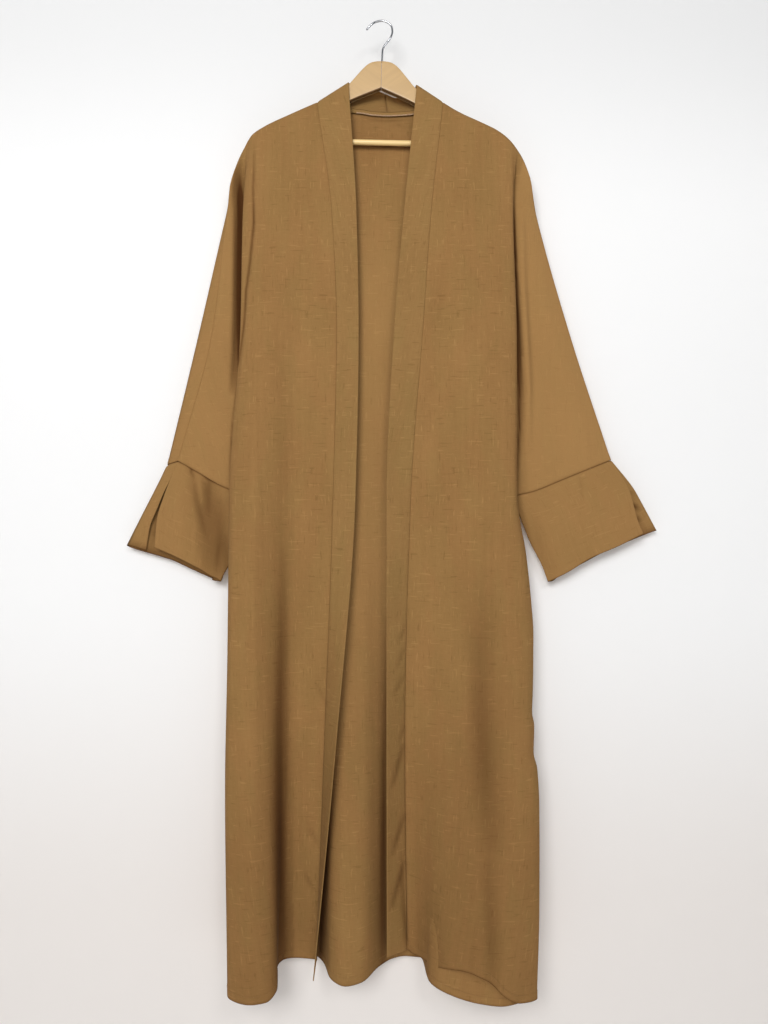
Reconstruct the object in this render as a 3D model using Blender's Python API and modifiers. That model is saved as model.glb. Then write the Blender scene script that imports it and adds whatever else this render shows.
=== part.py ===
"""An open kimono-style robe of slub linen, hung on a wooden coat hanger.

Units are metres and +Z is up. The room is at -Y and the wall behind the robe at +Y. The origin
is the inner top of the hanger's hook, where a wall hook carries it. Left and right are the
wearer's, so the right-hand pieces are at -X. The tables are in millimetres, and "out" is how far
a point stands out from the wall. A line is a fold, edge or seam that runs down the cloth.
"""

import math
from collections import namedtuple

import bmesh
import bpy
import numpy as np
from mathutils import Matrix

MM = 0.001
HANGER_OUT = 50.0
CLOTH_THICK = 1.6
BAND_THICK = 2.4
SEAM_GAP = 0.34
# How much further a bent seam's edges draw back, and the least squareness taken at a slanted seam
BEND_SLACK = 1.3
LEAST_SQUARE = 0.35
# Half the space kept between front and back where their sleeve layers meet at the underarm
UNDERARM_SPLIT = 1.4
# The same at the top of each overarm seam, and the wider gaps above the neck seam and each cuff
CORNER_SPLIT = 0.5
NECK_LIFT = 0.5
CUFF_GAP = 0.8

# Heights of the sections that the line tables name, below the hook seat
CHEST = -310.0
WAIST = -500.0
UNDERARM = -775.0
KNEE = -1160.0

# Rows of the cloth grids: over the shoulder, down to the underarm, and on to the hem
CREST_ROWS = 3
UPPER_ROWS = 12
LOWER_ROWS = 11
CUFF_ROWS = 6
CREST_DROP = 8.0
# Columns from one line to the next
FRONT_SPREAD = 2
BACK_SPREAD = 1

# Height of the shoulder seam by x, running on down the top of each sleeve
SHOULDER_RIGHT = ((-247, -260), (-244.5, -252), (-233.5, -222.5), (-222, -200.5), (-213.5, -187),
                  (-193, -172), (-151.5, -152), (-105, -131.5))
SHOULDER_LEFT = ((97, -131.5), (121.5, -146.5), (152.5, -161), (185.5, -177), (198, -186),
                 (213, -201), (226.5, -219.5), (238, -246.5), (241, -256))
ARM_REACH = 213.0
SEAM_SETBACK = 0.115

# A line's x and out are read at the shoulder, chest, waist, underarm or cuff, knee and hem.
# low is the height at the underarm or cuff, end is the height at the hem, None on a sleeve line.
Line = namedtuple("Line", "name x out low end")

FRONT_RIGHT = (
    Line("band_seam", (-105, -82, -74, -80, -95, -110), (59, 60, 60, 58, 43, 24), UNDERARM, -1537),
    Line("trough", (-124, -108, -106, -112, -122, -138), (59, 60.5, 61, 58, 42, 22), UNDERARM, -1535),
    Line("wall_foot", (-146, -136, -140, -146, -150, -165), (59, 61, 60, 56, 42, 27), UNDERARM, -1536),
    Line("wall_top", (-168, -164, -168, -172, -168, -171), (59, 62, 62, 62, 68, 84), UNDERARM, -1545),
    Line("bulge", (-190, -188, -194, -206, -206, -206), (59, 63, 63, 72, 90, 110), UNDERARM, -1555),
    Line("shoulder", (-209, -208, -212, -236, -238, -235), (59, 61, 61, 68, 84, 98), UNDERARM, -1552),
    Line("side_fold", (-217, -226, -230, -247.5, -247.5, -240), (55, 52, 53, 56, 66, 84), UNDERARM, -1550),
    Line("return", (-223, -222, -222, -232, -240, -238), (53, 39, 39, 42, 50, 64), UNDERARM, -1546),
    Line("side_seam", (-229, -231, -232, -199, -205, -226), (52, 28, 27, 24, 34, 44), -780, -1542),
    Line("sleeve_a", (-234, -243, -244, -228), (51, 37, 36, 29), -768, None),
    Line("sleeve_b", (-238.5, -247, -257, -268), (50.5, 37, 36, 29), -751, None),
    Line("sleeve_c", (-243, -251, -269, -306), (49.5, 37, 35, 29), -729, None),
    Line("overarm", (-247, -256, -280, -338), (46, 36, 34, 28), -711, None),
)

FRONT_LEFT = (
    Line("band_seam", (97, 78.5, 65, 45.5, 36.5, 40.5), (59, 60, 60, 57, 46, 22), UNDERARM, -1522),
    Line("trough", (112, 98, 91, 62, 50, 53.5), (59, 59, 57, 57, 48, 27), UNDERARM, -1527),
    Line("wall_foot", (130, 120, 114, 84, 68, 66), (59, 61, 62, 60, 54, 44), UNDERARM, -1526),
    Line("wall_top", (148, 142, 138, 108, 90, 76), (59, 61.5, 63, 62, 62, 80), UNDERARM, -1515),
    Line("bulge_a", (165, 162, 158, 134, 112, 93), (59, 61.5, 63, 64, 70, 94), UNDERARM, -1511),
    Line("bulge_b", (181, 179, 178, 162, 144, 123), (59, 61.5, 63, 65, 77, 104), UNDERARM, -1508),
    Line("bulge_c", (195, 194, 195, 186, 178, 161), (59, 61, 62, 64, 80, 112), UNDERARM, -1517),
    Line("bulge_d", (206, 203, 206, 203, 206, 188), (58.5, 60, 60, 61, 79, 113), UNDERARM, -1541),
    Line("shoulder", (211, 209, 213, 214, 231, 213), (57, 57, 57, 56, 74, 107), UNDERARM, -1554),
    Line("side_fold", (215.5, 211.5, 217, 219, 243, 242), (55, 51, 51, 47, 62, 91), UNDERARM, -1556),
    Line("return", (219.5, 206, 209, 214, 240, 242), (53, 41, 40, 36, 50, 83), UNDERARM, -1556),
    Line("side_seam", (223.5, 203, 203, 211, 228, 238), (52, 33, 30, 24, 42, 77), -772, -1556),
    Line("sleeve_a", (227.5, 219, 235, 252), (51, 36, 35, 29), -760, None),
    Line("sleeve_b", (231.5, 228, 258, 296), (50, 37, 35, 29), -742, None),
    Line("sleeve_c", (236, 240, 282, 338), (49, 36, 34, 29), -725, None),
    Line("overarm", (240, 254, 308.5, 378), (46, 32, 29, 25), -709, None),
)

BACK = (
    FRONT_RIGHT[-1],
    Line("sleeve_fold_right", (-243, -259, -304, -357.5), (43, 30, 26, 21), -717, None),
    Line("sleeve_b_right", (-237, -252, -282, -322), (42.5, 21, 17, 15), -731, None),
    Line("sleeve_a_right", (-231, -243, -257, -262), (42.5, 21, 16, 15), -755, None),
    Line("side_right", (-223.5, -230, -228, -199, -205, -226), (43, 21, 18, 24, 34, 44), -780, -1542),
    Line("pleat_1", (-212, -203, -192, -173, -182, -192), (43, 32, 31, 27, 20, 14), UNDERARM, -1540),
    Line("pleat_2", (-185, -172, -160, -144, -150, -150), (41, 38, 36, 31, 17, 10), UNDERARM, -1538),
    Line("pleat_3", (-146, -138, -128, -116, -118, -114), (41, 39, 38, 34, 20, 10), UNDERARM, -1538),
    Line("neck_right", (-105, -105, -102, -96, -98, -98), (41, 40, 39, 36, 28, 26), UNDERARM, -1539),
    Line("pleat_4", (-100, -96, -92, -84, -80, -82), (41, 40, 39, 38, 42, 64), UNDERARM, -1544),
    Line("pleat_5", (-74, -72, -68, -62, -58, -59), (41, 40, 40, 41, 48, 77), UNDERARM, -1547),
    Line("pleat_6", (-36, -38, -38, -36, -32, -34), (40, 40, 40, 40, 44, 70), UNDERARM, -1545),
    Line("pleat_7", (-14, -14, -14, -14, -8, -6), (40, 40, 40, 37, 32, 40), UNDERARM, -1538),
    Line("centre", (8, 10, 12, 12, 10, 14), (40, 40, 39, 34, 24, 22), UNDERARM, -1537),
    Line("pleat_8", (38, 40, 42, 42, 36, 40), (40, 40, 38, 31, 20, 12), UNDERARM, -1538),
    Line("pleat_9", (68, 70, 72, 68, 62, 64), (41, 39, 37, 29, 24, 14), UNDERARM, -1539),
    Line("pleat_10", (92, 94, 96, 90, 80, 78), (41, 39, 37, 31, 36, 50), UNDERARM, -1546),
    Line("neck_left", (97, 106, 114, 108, 100, 91), (41, 39, 37, 33, 50, 82), UNDERARM, -1550),
    Line("pleat_11", (125, 132, 136, 130, 124, 118), (41, 39, 36, 35, 56, 91), UNDERARM, -1557),
    Line("pleat_12", (155, 157, 158, 154, 152, 150), (41, 38, 35, 36, 60, 97), UNDERARM, -1562),
    Line("pleat_13", (182, 180, 180, 178, 184, 184), (41, 35, 32, 34, 61, 99), UNDERARM, -1564),
    Line("pleat_14", (206, 195, 196, 199, 212, 213), (43, 30, 26, 29, 55, 95), UNDERARM, -1561),
    Line("side_left", (217, 206, 210, 211, 228, 238), (43, 25, 19, 24, 42, 77), -772, -1556),
    Line("sleeve_a_left", (224, 224, 240, 254), (42.5, 22, 16, 15), -759, None),
    Line("sleeve_b_left", (231, 238, 272, 315), (42.5, 21, 16, 15), -734, None),
    Line("sleeve_fold_left", (237, 250, 304, 372), (42.5, 26, 22, 19), -712, None),
    FRONT_LEFT[-1],
)

# Height of the back neck seam by x, between the ends of the two shoulder seams
NECK_SEAM = ((-105, -131.5), (-100, -133), (-74, -135), (-36, -138), (-14, -141.4), (8, -142.5),
             (38, -141), (68, -137.5), (92, -133), (97, -131.5))

# The free edge of each band: x and out as on a line, then its top height and its hem height
BAND_EDGE = {
    "right": ((-54.5, -42, -38.3, -43.6, -73.5, -111), (59.5, 60.5, 61, 62, 76, 66), -99.5, -1546),
    "left": ((54.5, 34.5, 18.4, 6.1, 6.4, 7), (59.5, 61, 62, 66, 72, 46), -103.5, -1520),
}
BAND_SPREAD = 4
# The free edge behind the neck, at each back line from the shoulder seam to the centre: x, out, z
NECK_EDGE = {
    "right": ((-53.5, 50, -99.5), (-53.5, 40.5, -101), (-44, 34, -103.5), (-26, 25, -104.5),
              (-8, 21, -104), (4.5, 20, -104)),
    "left": ((53.5, 50, -103.5), (53.2, 40.5, -105), (45, 34, -105), (26, 24, -105),
             (5.5, 20, -104)),
}

# Each cuff, line by line round the sleeve: the point half way down and the point on its edge,
# as x, out, z, or None where the line runs straight
CUFF_RIGHT = (
    ("slit_front", (-357, 30, -760), (-376, 30, -854)),
    ("front_c", None, (-342, 30, -881)),
    ("front_b", None, (-307, 29, -895)),
    ("front_a", None, (-280, 27, -905)),
    ("inner_fold", None, (-265, 21, -911)),
    ("back_a", None, (-283, 15, -905)),
    ("back_b", None, (-345, 14, -880)),
    ("outer_fold", None, (-427, 15, -851)),
    ("slit_back", (-367, 27, -765), (-402, 21, -858)),
)
CUFF_LEFT = (
    ("slit_front", (412.6, 30, -768), (431, 30, -832)),
    ("front_c", None, (392, 30, -850)),
    ("front_b", None, (340, 30, -873)),
    ("front_a", None, (297, 28, -899)),
    ("inner_fold", None, (269, 22, -911)),
    ("back_a", None, (300, 15, -898)),
    ("back_b", None, (370, 14, -862)),
    ("outer_fold", None, (448, 15, -829)),
    ("slit_back", (418, 20, -757), (457, 17, -826)),
)
INNER_FOLD_TOP = {"right": (-205, 21.5, -779), "left": (217, 21.5, -771)}
# How far down a cuff its half-way points lie, and how far the fold runs on above its top
CUFF_MIDDLE = 0.4
FOLD_RISE = 10.0

ALLOWANCE_FROM = "pleat_5"
ALLOWANCE_TO = "pleat_9"
ALLOWANCE_WIDE = 7.0
ALLOWANCE_THICK = 1.0
ALLOWANCE_DROP = 0.6
ALLOWANCE_ROWS = 2

# The hanger, drawn level and then tilted about the hook seat
HANGER_TILT = math.radians(1.3)
ARM_THICK = 12.0
ARM_EDGE = 2.5
ARM_CORNER = math.radians(60)
ARM_TOP = ((10, -63.2), (15.6, -67.5), (31.2, -78), (43.5, -93.8), (52, -105), (80, -125.5),
           (106, -142), (152, -164), (190, -183), (200, -190), (204.5, -197))
ARM_UNDER = ((204.5, -209), (198, -214), (186, -214), (152, -191), (106, -163), (57, -133),
             (0, -107.2))
BAR_Z = -196.0
BAR_RADIUS = 4.6
BAR_END = 192.0
BAR_SIDES = 20
BAR_CORNER = math.radians(40)
HOOK_WIRE = 1.9
HOOK_PATH = ((-25, -12.5), (-19.5, -6), (-11, -0.2), (-1, 1.9), (9, -1), (15, -8), (16.2, -16),
             (13.5, -25), (8, -33), (3.2, -40), (0.9, -47), (0.4, -62.6))
HOOK_STEPS = 3

COLOURS = {
    "linen": (0.33, 0.18, 0.065, 0.85, 0.0),
    "band_linen": (0.30, 0.17, 0.06, 0.85, 0.0),
    "overlock": (0.62, 0.42, 0.33, 0.8, 0.0),
    "maple": (0.72, 0.46, 0.22, 0.45, 0.0),
    "bar_wood": (0.86, 0.66, 0.33, 0.4, 0.0),
    "chrome": (0.75, 0.76, 0.78, 0.18, 1.0),
}


def clear_scene():
    for old in list(bpy.data.objects):
        bpy.data.objects.remove(old, do_unlink=True)


def make_collection(name):
    group = bpy.data.collections.new(name)
    bpy.context.scene.collection.children.link(group)
    return group


def make_material(name):
    red, green, blue, rough, metal = COLOURS[name]
    material = bpy.data.materials.new(name)
    material.use_nodes = True
    shader = material.node_tree.nodes["Principled BSDF"]
    shader.inputs["Base Color"].default_value = (red, green, blue, 1.0)
    shader.inputs["Roughness"].default_value = rough
    shader.inputs["Metallic"].default_value = metal
    return material


def ease(knots, values, at):
    """Read values smoothly between the knots, with no overshoot past them."""
    knots = np.asarray(knots, float)
    values = np.asarray(values, float)
    if knots[0] > knots[-1]:
        knots, values = knots[::-1], values[::-1]
    width = np.diff(knots)
    slope = np.diff(values) / width
    tangent = np.zeros_like(values)
    tangent[0], tangent[-1] = slope[0], slope[-1]
    for i in range(1, len(knots) - 1):
        if slope[i - 1] * slope[i] > 0:
            before = width[i] * 2 + width[i - 1]
            after = width[i] + width[i - 1] * 2
            tangent[i] = (before + after) / (before / slope[i - 1] + after / slope[i])
    at = np.clip(np.asarray(at, float), knots[0], knots[-1])
    i = np.clip(np.searchsorted(knots, at) - 1, 0, len(knots) - 2)
    t = (at - knots[i]) / width[i]
    return (values[i] * (1 + 2 * t) * (1 - t) ** 2 + tangent[i] * width[i] * t * (1 - t) ** 2
            + values[i + 1] * t * t * (3 - 2 * t) - tangent[i + 1] * width[i] * t * t * (1 - t))


def ease_points(knots, points, at):
    points = np.asarray(points, float)
    return np.stack([ease(knots, points[:, k], at) for k in range(points.shape[1])], axis=-1)


def read_table(table, x):
    return float(ease([row[0] for row in table], [row[1] for row in table], x))


def seam_top(x):
    """The top of the line that starts at x: a point of the shoulder seam or of the neck seam."""
    if SHOULDER_RIGHT[-1][0] < x < SHOULDER_LEFT[0][0]:
        return read_table(NECK_SEAM, x), None
    table = SHOULDER_RIGHT if x < 0 else SHOULDER_LEFT
    setback = max(0.0, abs(x) - ARM_REACH) * SEAM_SETBACK
    return read_table(table, x), HANGER_OUT - setback


def line_points(line, top=None):
    """Points down one line: over the crest, down to the underarm or cuff, then on to the hem."""
    top_z, seam_out = seam_top(line.x[0]) if top is None else (top, HANGER_OUT)
    first_out = line.out[0]
    if seam_out is None:
        seam_out = first_out
    drop = max(CREST_DROP, abs(first_out - seam_out))
    turn = np.linspace(0, math.pi / 2, CREST_ROWS + 1)
    crest = np.stack([np.full(len(turn), float(line.x[0])),
                      seam_out + (first_out - seam_out) * np.sin(turn),
                      top_z - drop * (1 - np.cos(turn))], axis=-1)
    start = top_z - drop
    heights = [start, CHEST, WAIST, line.low]
    rows = np.linspace(start, line.low, UPPER_ROWS + 1)[1:]
    if line.end is not None:
        heights += [KNEE, line.end]
        rows = np.append(rows, np.linspace(line.low, line.end, LOWER_ROWS + 1)[1:])
    across = ease(heights, line.x, rows)
    outward = ease(heights, line.out, rows)
    return np.vstack([crest, np.stack([across, outward, rows], axis=-1)])


def panel_grid(lines, spread):
    """A grid of points, row by row, with each gap between two lines cut into spread columns."""
    rows = CREST_ROWS + UPPER_ROWS + LOWER_ROWS + 1
    columns = (len(lines) - 1) * spread + 1
    grid = np.full((rows, columns, 3), np.nan)
    runs = [line_points(line) for line in lines]
    for row in range(rows):
        start = 0
        while start < len(lines):
            if len(runs[start]) <= row:
                start += 1
                continue
            stop = start
            while stop + 1 < len(lines) and len(runs[stop + 1]) > row:
                stop += 1
            keys = np.array([runs[i][row] for i in range(start, stop + 1)])
            length = np.append(0, np.cumsum(np.linalg.norm(np.diff(keys, axis=0), axis=1)))
            steps = np.arange((stop - start) * spread + 1) / spread
            at = np.interp(steps, np.arange(stop - start + 1), length)
            grid[row, start * spread:stop * spread + 1] = ease_points(length, keys, at)
            start = stop + 1
    return grid


def unit(vector):
    return vector / np.linalg.norm(vector)


def part_edges(first, first_next, second, second_next):
    """Draw two meeting edges back from their shared seam, further where the seam bends."""
    for a, a_next, b, b_next in zip(first, first_next, second, second_next):
        to_a, to_b = unit(a_next - a), unit(b_next - b)
        half_bend = (math.pi - math.acos(float(np.clip(to_a @ to_b, -1, 1)))) / 2
        inset = SEAM_GAP / 2 + min(CLOTH_THICK, BEND_SLACK * CLOTH_THICK / 2 * math.tan(half_bend))
        a += to_a * inset
        b += to_b * inset


def part_crest(grid, toward):
    """Draw a panel's top edge back from the shoulder seam, toward the room or the wall."""
    for column in range(grid.shape[1]):
        if SHOULDER_RIGHT[-1][0] < grid[0, column, 0] < SHOULDER_LEFT[0][0]:
            continue
        step = unit(grid[1, column] - grid[0, column])
        slant = math.acos(min(1.0, abs(step[1])))
        inset = SEAM_GAP / 2 + CLOTH_THICK / 2 * min(1.0, math.tan(slant))
        grid[0, column, 1] += toward * inset


def place(points):
    """From x, out, z in millimetres to the part's own frame in metres."""
    x, out, z = points[..., 0], points[..., 1], points[..., 2]
    return np.stack([x, HANGER_OUT - out, z], axis=-1) * MM


def add_sheet(name, grid, thick, material, group):
    """A cloth piece: an open grid of faces with Solidify giving it its wall."""
    mesh = bmesh.new()
    spots = place(grid)
    verts = {}
    for row in range(grid.shape[0]):
        for column in range(grid.shape[1]):
            if not np.isnan(grid[row, column, 0]):
                verts[row, column] = mesh.verts.new(spots[row, column])
    for row in range(grid.shape[0] - 1):
        for column in range(grid.shape[1] - 1):
            corners = ((row, column), (row + 1, column), (row + 1, column + 1), (row, column + 1))
            if all(corner in verts for corner in corners):
                mesh.faces.new([verts[corner] for corner in corners])
    data = bpy.data.meshes.new(name)
    mesh.to_mesh(data)
    mesh.free()
    data.materials.append(material)
    piece = bpy.data.objects.new(name, data)
    group.objects.link(piece)
    wall = piece.modifiers.new("wall", "SOLIDIFY")
    wall.thickness = thick * MM
    wall.offset = 0.0
    data.shade_smooth()
    return piece


def line_column(lines, name, spread):
    return [line.name for line in lines].index(name) * spread


def meet_seam(seam, beside, along, target, gap):
    """Points just off a seam on the side of target, clear of the panel's edge at any angle."""
    placed = []
    for point, inner, next_point, goal in zip(seam, beside, along, target):
        heading = unit(goal - point)
        seamwise = unit(next_point - point)
        normal = unit(np.cross(inner - point, seamwise))
        clear = gap + CLOTH_THICK / 2 * abs(float(heading @ normal))
        square = float(np.linalg.norm(np.cross(heading, seamwise)))
        placed.append(point + heading * clear / max(LEAST_SQUARE, square))
    return np.array(placed)


def band_grid(side, front, back):
    """A front band: from the hem up the panel's edge, over the shoulder and to the centre back."""
    across, outward, top, end = BAND_EDGE[side]
    free = line_points(Line("free", across, outward, UNDERARM, end), top)[::-1]
    seam = front[::-1, 0]
    inner = front[::-1, 1]
    along = np.vstack([seam[1:], seam[-2:-1]])
    first = line_column(BACK, "neck_" + side, BACK_SPREAD)
    centre = line_column(BACK, "centre", BACK_SPREAD)
    step = 1 if centre > first else -1
    columns = list(range(first + step, centre + step, step))
    neck_seam = back[0, columns]
    neck_inner = back[1, columns]
    neck_along = back[0, [column + step for column in columns]]
    keys = np.array(NECK_EDGE[side], float)
    at = np.arange(1, len(columns) + 1) / BACK_SPREAD
    neck_free = ease_points(np.arange(len(keys)), keys, at)
    free[-1] = keys[0]
    seam = np.vstack([seam, neck_seam])
    inner = np.vstack([inner, neck_inner])
    along = np.vstack([along, neck_along])
    free = np.vstack([free, neck_free])
    near = meet_seam(seam, inner, along, free, SEAM_GAP)
    near[len(front):, 2] += NECK_LIFT
    share = np.linspace(0, 1, BAND_SPREAD + 1)[None, :, None]
    grid = near[:, None] * (1 - share) + free[:, None] * share
    heading = 1 if side == "right" else -1
    grid[-1, :, 0] -= heading * SEAM_GAP / 2
    return grid


def cuff_grid(side, table, front, back):
    """A cuff round the sleeve's end, open along its slit below the overarm seam."""
    last = CREST_ROWS + UPPER_ROWS
    lines = FRONT_RIGHT if side == "right" else FRONT_LEFT
    start = line_column(lines, "overarm", FRONT_SPREAD)
    stop = line_column(lines, "sleeve_a", FRONT_SPREAD)
    front_columns = list(range(start, stop - 1, -1))
    inside = line_column(BACK, "sleeve_a_" + side, BACK_SPREAD)
    outside = back.shape[1] - 1 if side == "left" else 0
    step = 1 if outside > inside else -1
    back_columns = list(range(inside, outside + step, step))
    fold_top = np.array(INNER_FOLD_TOP[side], float)
    seam = np.vstack([front[last, front_columns], fold_top, back[last, back_columns]])
    above = np.vstack([front[last - 1, front_columns], fold_top + (0, 0, FOLD_RISE),
                       back[last - 1, back_columns]])
    fold = [row[0] for row in table].index("inner_fold")
    place_front = np.arange(len(front_columns)) / FRONT_SPREAD
    place_back = fold + 1 + np.arange(len(back_columns)) / BACK_SPREAD
    station = np.concatenate([place_front, [fold], place_back])
    named = [int(np.argmin(abs(station - k))) for k in range(len(table))]
    shifts = np.zeros((len(table), CUFF_ROWS + 1, 3))
    down = np.linspace(0, 1, CUFF_ROWS + 1)
    for k, (name, middle, edge) in enumerate(table):
        top = seam[named[k]]
        knots, points = [0, 1], [top, edge]
        if middle is not None:
            knots, points = [0, CUFF_MIDDLE, 1], [top, middle, edge]
        shifts[k] = ease_points(knots, points, down) - top
    grid = np.zeros((CUFF_ROWS + 1, len(seam), 3))
    for row in range(CUFF_ROWS + 1):
        grid[row] = seam + ease_points(np.arange(len(table)), shifts[:, row], station)
    sideways = np.vstack([seam[1:], seam[-2:-1]])
    grid[0] = meet_seam(seam, above, sideways, grid[1], CUFF_GAP)
    to_front = unit(grid[0, 1] - grid[0, 0])
    to_back = unit(grid[0, -2] - grid[0, -1])
    grid[:, 0] += to_front * SEAM_GAP / 2
    grid[:, -1] += to_back * SEAM_GAP / 2
    return grid


def allowance_grid(back):
    """The back-neck seam allowance, lying on the inside of the back panel."""
    first = line_column(BACK, ALLOWANCE_FROM, BACK_SPREAD)
    last = line_column(BACK, ALLOWANCE_TO, BACK_SPREAD)
    lift = CLOTH_THICK / 2 + SEAM_GAP + ALLOWANCE_THICK / 2
    rows = []
    for drop in np.linspace(0, ALLOWANCE_WIDE, ALLOWANCE_ROWS + 1):
        edge = back[0, first:last + 1].copy()
        edge[:, 1] += lift
        edge[:, 2] -= ALLOWANCE_DROP + drop
        rows.append(edge)
    return np.array(rows)


def tilt_hanger(piece):
    piece.matrix_world = Matrix.Rotation(HANGER_TILT, 4, "Y") @ piece.matrix_world


def add_arm(side, material, group, cutter):
    """Half of the wooden hanger: its outline extruded, softly edged, and bored for the bar."""
    sign = -1 if side == "right" else 1
    inner = SEAM_GAP / 2
    outline = [(sign * max(inner, x), z) for x, z in ((0, ARM_TOP[0][1]),) + ARM_TOP + ARM_UNDER]
    mesh = bmesh.new()
    ring = [mesh.verts.new((x * MM, -ARM_THICK / 2 * MM, z * MM)) for x, z in outline]
    face = mesh.faces.new(ring)
    grown = bmesh.ops.extrude_face_region(mesh, geom=[face])["geom"]
    moved = [item for item in grown if isinstance(item, bmesh.types.BMVert)]
    bmesh.ops.translate(mesh, verts=moved, vec=(0, ARM_THICK * MM, 0))
    bmesh.ops.recalc_face_normals(mesh, faces=mesh.faces)
    data = bpy.data.meshes.new("hanger_arm_" + side)
    mesh.to_mesh(data)
    mesh.free()
    data.materials.append(material)
    piece = bpy.data.objects.new("hanger_arm_" + side, data)
    group.objects.link(piece)
    edge = piece.modifiers.new("soft_edge", "BEVEL")
    edge.width = ARM_EDGE * MM
    edge.segments = 2
    edge.limit_method = "ANGLE"
    edge.angle_limit = ARM_CORNER
    bore = piece.modifiers.new("bar_socket", "BOOLEAN")
    bore.operation = "DIFFERENCE"
    bore.object = cutter
    tilt_hanger(piece)
    return piece


def add_rod(name, radius, half_length, material, group):
    bpy.ops.mesh.primitive_cylinder_add(vertices=BAR_SIDES, radius=radius * MM,
                                        depth=2 * half_length * MM)
    rod = bpy.context.object
    rod.name = name
    rod.data.name = name
    for holder in list(rod.users_collection):
        holder.objects.unlink(rod)
    group.objects.link(rod)
    if material is not None:
        rod.data.materials.append(material)
    rod.data.shade_smooth()
    rod.data.set_sharp_from_angle(angle=BAR_CORNER)
    rod.matrix_world = (Matrix.Translation((0, 0, BAR_Z * MM))
                        @ Matrix.Rotation(math.pi / 2, 4, "Y"))
    tilt_hanger(rod)
    return rod


def add_hook(material, group):
    """The bent wire hook, whose inner top is the origin."""
    path = np.array(HOOK_PATH, float)
    at = np.linspace(0, len(path) - 1, (len(path) - 1) * HOOK_STEPS + 1)
    route = ease_points(np.arange(len(path)), path, at)
    curve = bpy.data.curves.new("hanger_hook", "CURVE")
    curve.dimensions = "3D"
    curve.bevel_depth = HOOK_WIRE * MM
    curve.bevel_resolution = 2
    curve.use_fill_caps = True
    spline = curve.splines.new("POLY")
    spline.points.add(len(route) - 1)
    for point, (x, z) in zip(spline.points, route):
        point.co = (x * MM, 0, z * MM, 1)
    curve.materials.append(material)
    hook = bpy.data.objects.new("hanger_hook", curve)
    group.objects.link(hook)
    tilt_hanger(hook)
    return hook


def build_cloth(group, linen, band_linen, overlock):
    front_right = panel_grid(FRONT_RIGHT, FRONT_SPREAD)
    front_left = panel_grid(FRONT_LEFT, FRONT_SPREAD)
    back = panel_grid(BACK, BACK_SPREAD)
    low = CREST_ROWS + UPPER_ROWS + 1
    for side, front, lines in (("right", front_right, FRONT_RIGHT), ("left", front_left, FRONT_LEFT)):
        edge, inward = (0, 1) if side == "right" else (-1, -2)
        part_edges(front[1:low, -1], front[1:low, -2], back[1:low, edge], back[1:low, inward])
        front[:CREST_ROWS + 2, -1, 1] += CORNER_SPLIT
        back[:CREST_ROWS + 2, edge, 1] -= CORNER_SPLIT
        seam = line_column(lines, "side_seam", FRONT_SPREAD)
        back_seam = line_column(BACK, "side_" + side, BACK_SPREAD)
        step = 1 if side == "right" else -1
        front[low - 2:low, seam, 1] += UNDERARM_SPLIT
        back[low - 2:low, back_seam, 1] -= UNDERARM_SPLIT
        part_edges(front[low:, seam], front[low:, seam - 1],
                   back[low:, back_seam], back[low:, back_seam + step])
    bands = {
        "right": band_grid("right", front_right, back),
        "left": band_grid("left", front_left, back),
    }
    cuffs = {
        "right": cuff_grid("right", CUFF_RIGHT, front_right, back),
        "left": cuff_grid("left", CUFF_LEFT, front_left, back),
    }
    allowance = allowance_grid(back)
    part_crest(front_right, 1)
    part_crest(front_left, 1)
    part_crest(back, -1)
    add_sheet("front_right", front_right, CLOTH_THICK, linen, group)
    add_sheet("front_left", front_left, CLOTH_THICK, linen, group)
    add_sheet("back", back, CLOTH_THICK, linen, group)
    for side, grid in bands.items():
        add_sheet("band_" + side, grid, BAND_THICK, band_linen, group)
    for side, grid in cuffs.items():
        add_sheet("cuff_" + side, grid, BAND_THICK, linen, group)
    add_sheet("neck_allowance", allowance, ALLOWANCE_THICK, overlock, group)


def build_hanger(group, tools, maple, bar_wood, chrome):
    cutter = add_rod("bar_cutter", BAR_RADIUS + SEAM_GAP, BAR_END + SEAM_GAP, None, tools)
    cutter.hide_render = True
    cutter.display_type = "WIRE"
    for side in ("right", "left"):
        add_arm(side, maple, group, cutter)
    add_rod("hanger_bar", BAR_RADIUS, BAR_END, bar_wood, group)
    add_hook(chrome, group)


def main():
    clear_scene()
    group = make_collection("kimono_on_hanger")
    tools = make_collection("cutters")
    paint = {name: make_material(name) for name in COLOURS}
    build_cloth(group, paint["linen"], paint["band_linen"], paint["overlock"])
    build_hanger(group, tools, paint["maple"], paint["bar_wood"], paint["chrome"])


main()
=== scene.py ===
"""An open kimono-style robe of slub linen on a wooden coat hanger: the finished visual model.

Units are metres and +Z is up. The room is at -Y and the wall behind the robe at +Y. The origin
is the inner top of the hanger's hook. Left and right are the wearer's, so the right-hand pieces
are at -X. The tables are the CAD part's own lines, in millimetres, and "out" is how far a point
stands out from the wall. Each cloth piece is a fine grid of points through those lines, moved a
little by its creases, ripples and seams, and given its wall by Solidify.
"""

import math
from collections import namedtuple
from functools import lru_cache

import bmesh
import bpy
import numpy as np
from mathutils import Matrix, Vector, noise


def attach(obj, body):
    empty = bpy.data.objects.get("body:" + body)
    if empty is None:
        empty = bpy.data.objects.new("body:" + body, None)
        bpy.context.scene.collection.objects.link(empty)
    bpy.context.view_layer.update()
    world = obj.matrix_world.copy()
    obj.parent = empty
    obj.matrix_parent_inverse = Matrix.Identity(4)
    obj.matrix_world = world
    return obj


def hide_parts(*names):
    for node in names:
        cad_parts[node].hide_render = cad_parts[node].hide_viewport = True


bl_info = {
    "name": "Linen Robe on a Hanger",
    "version": (1, 0, 0),
    "blender": (4, 5, 0),
    "location": "3D View > Sidebar > Robe",
    "description": "Builds a hanging linen robe, its hanger and a plain studio",
    "category": "Add Mesh",
}

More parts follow.
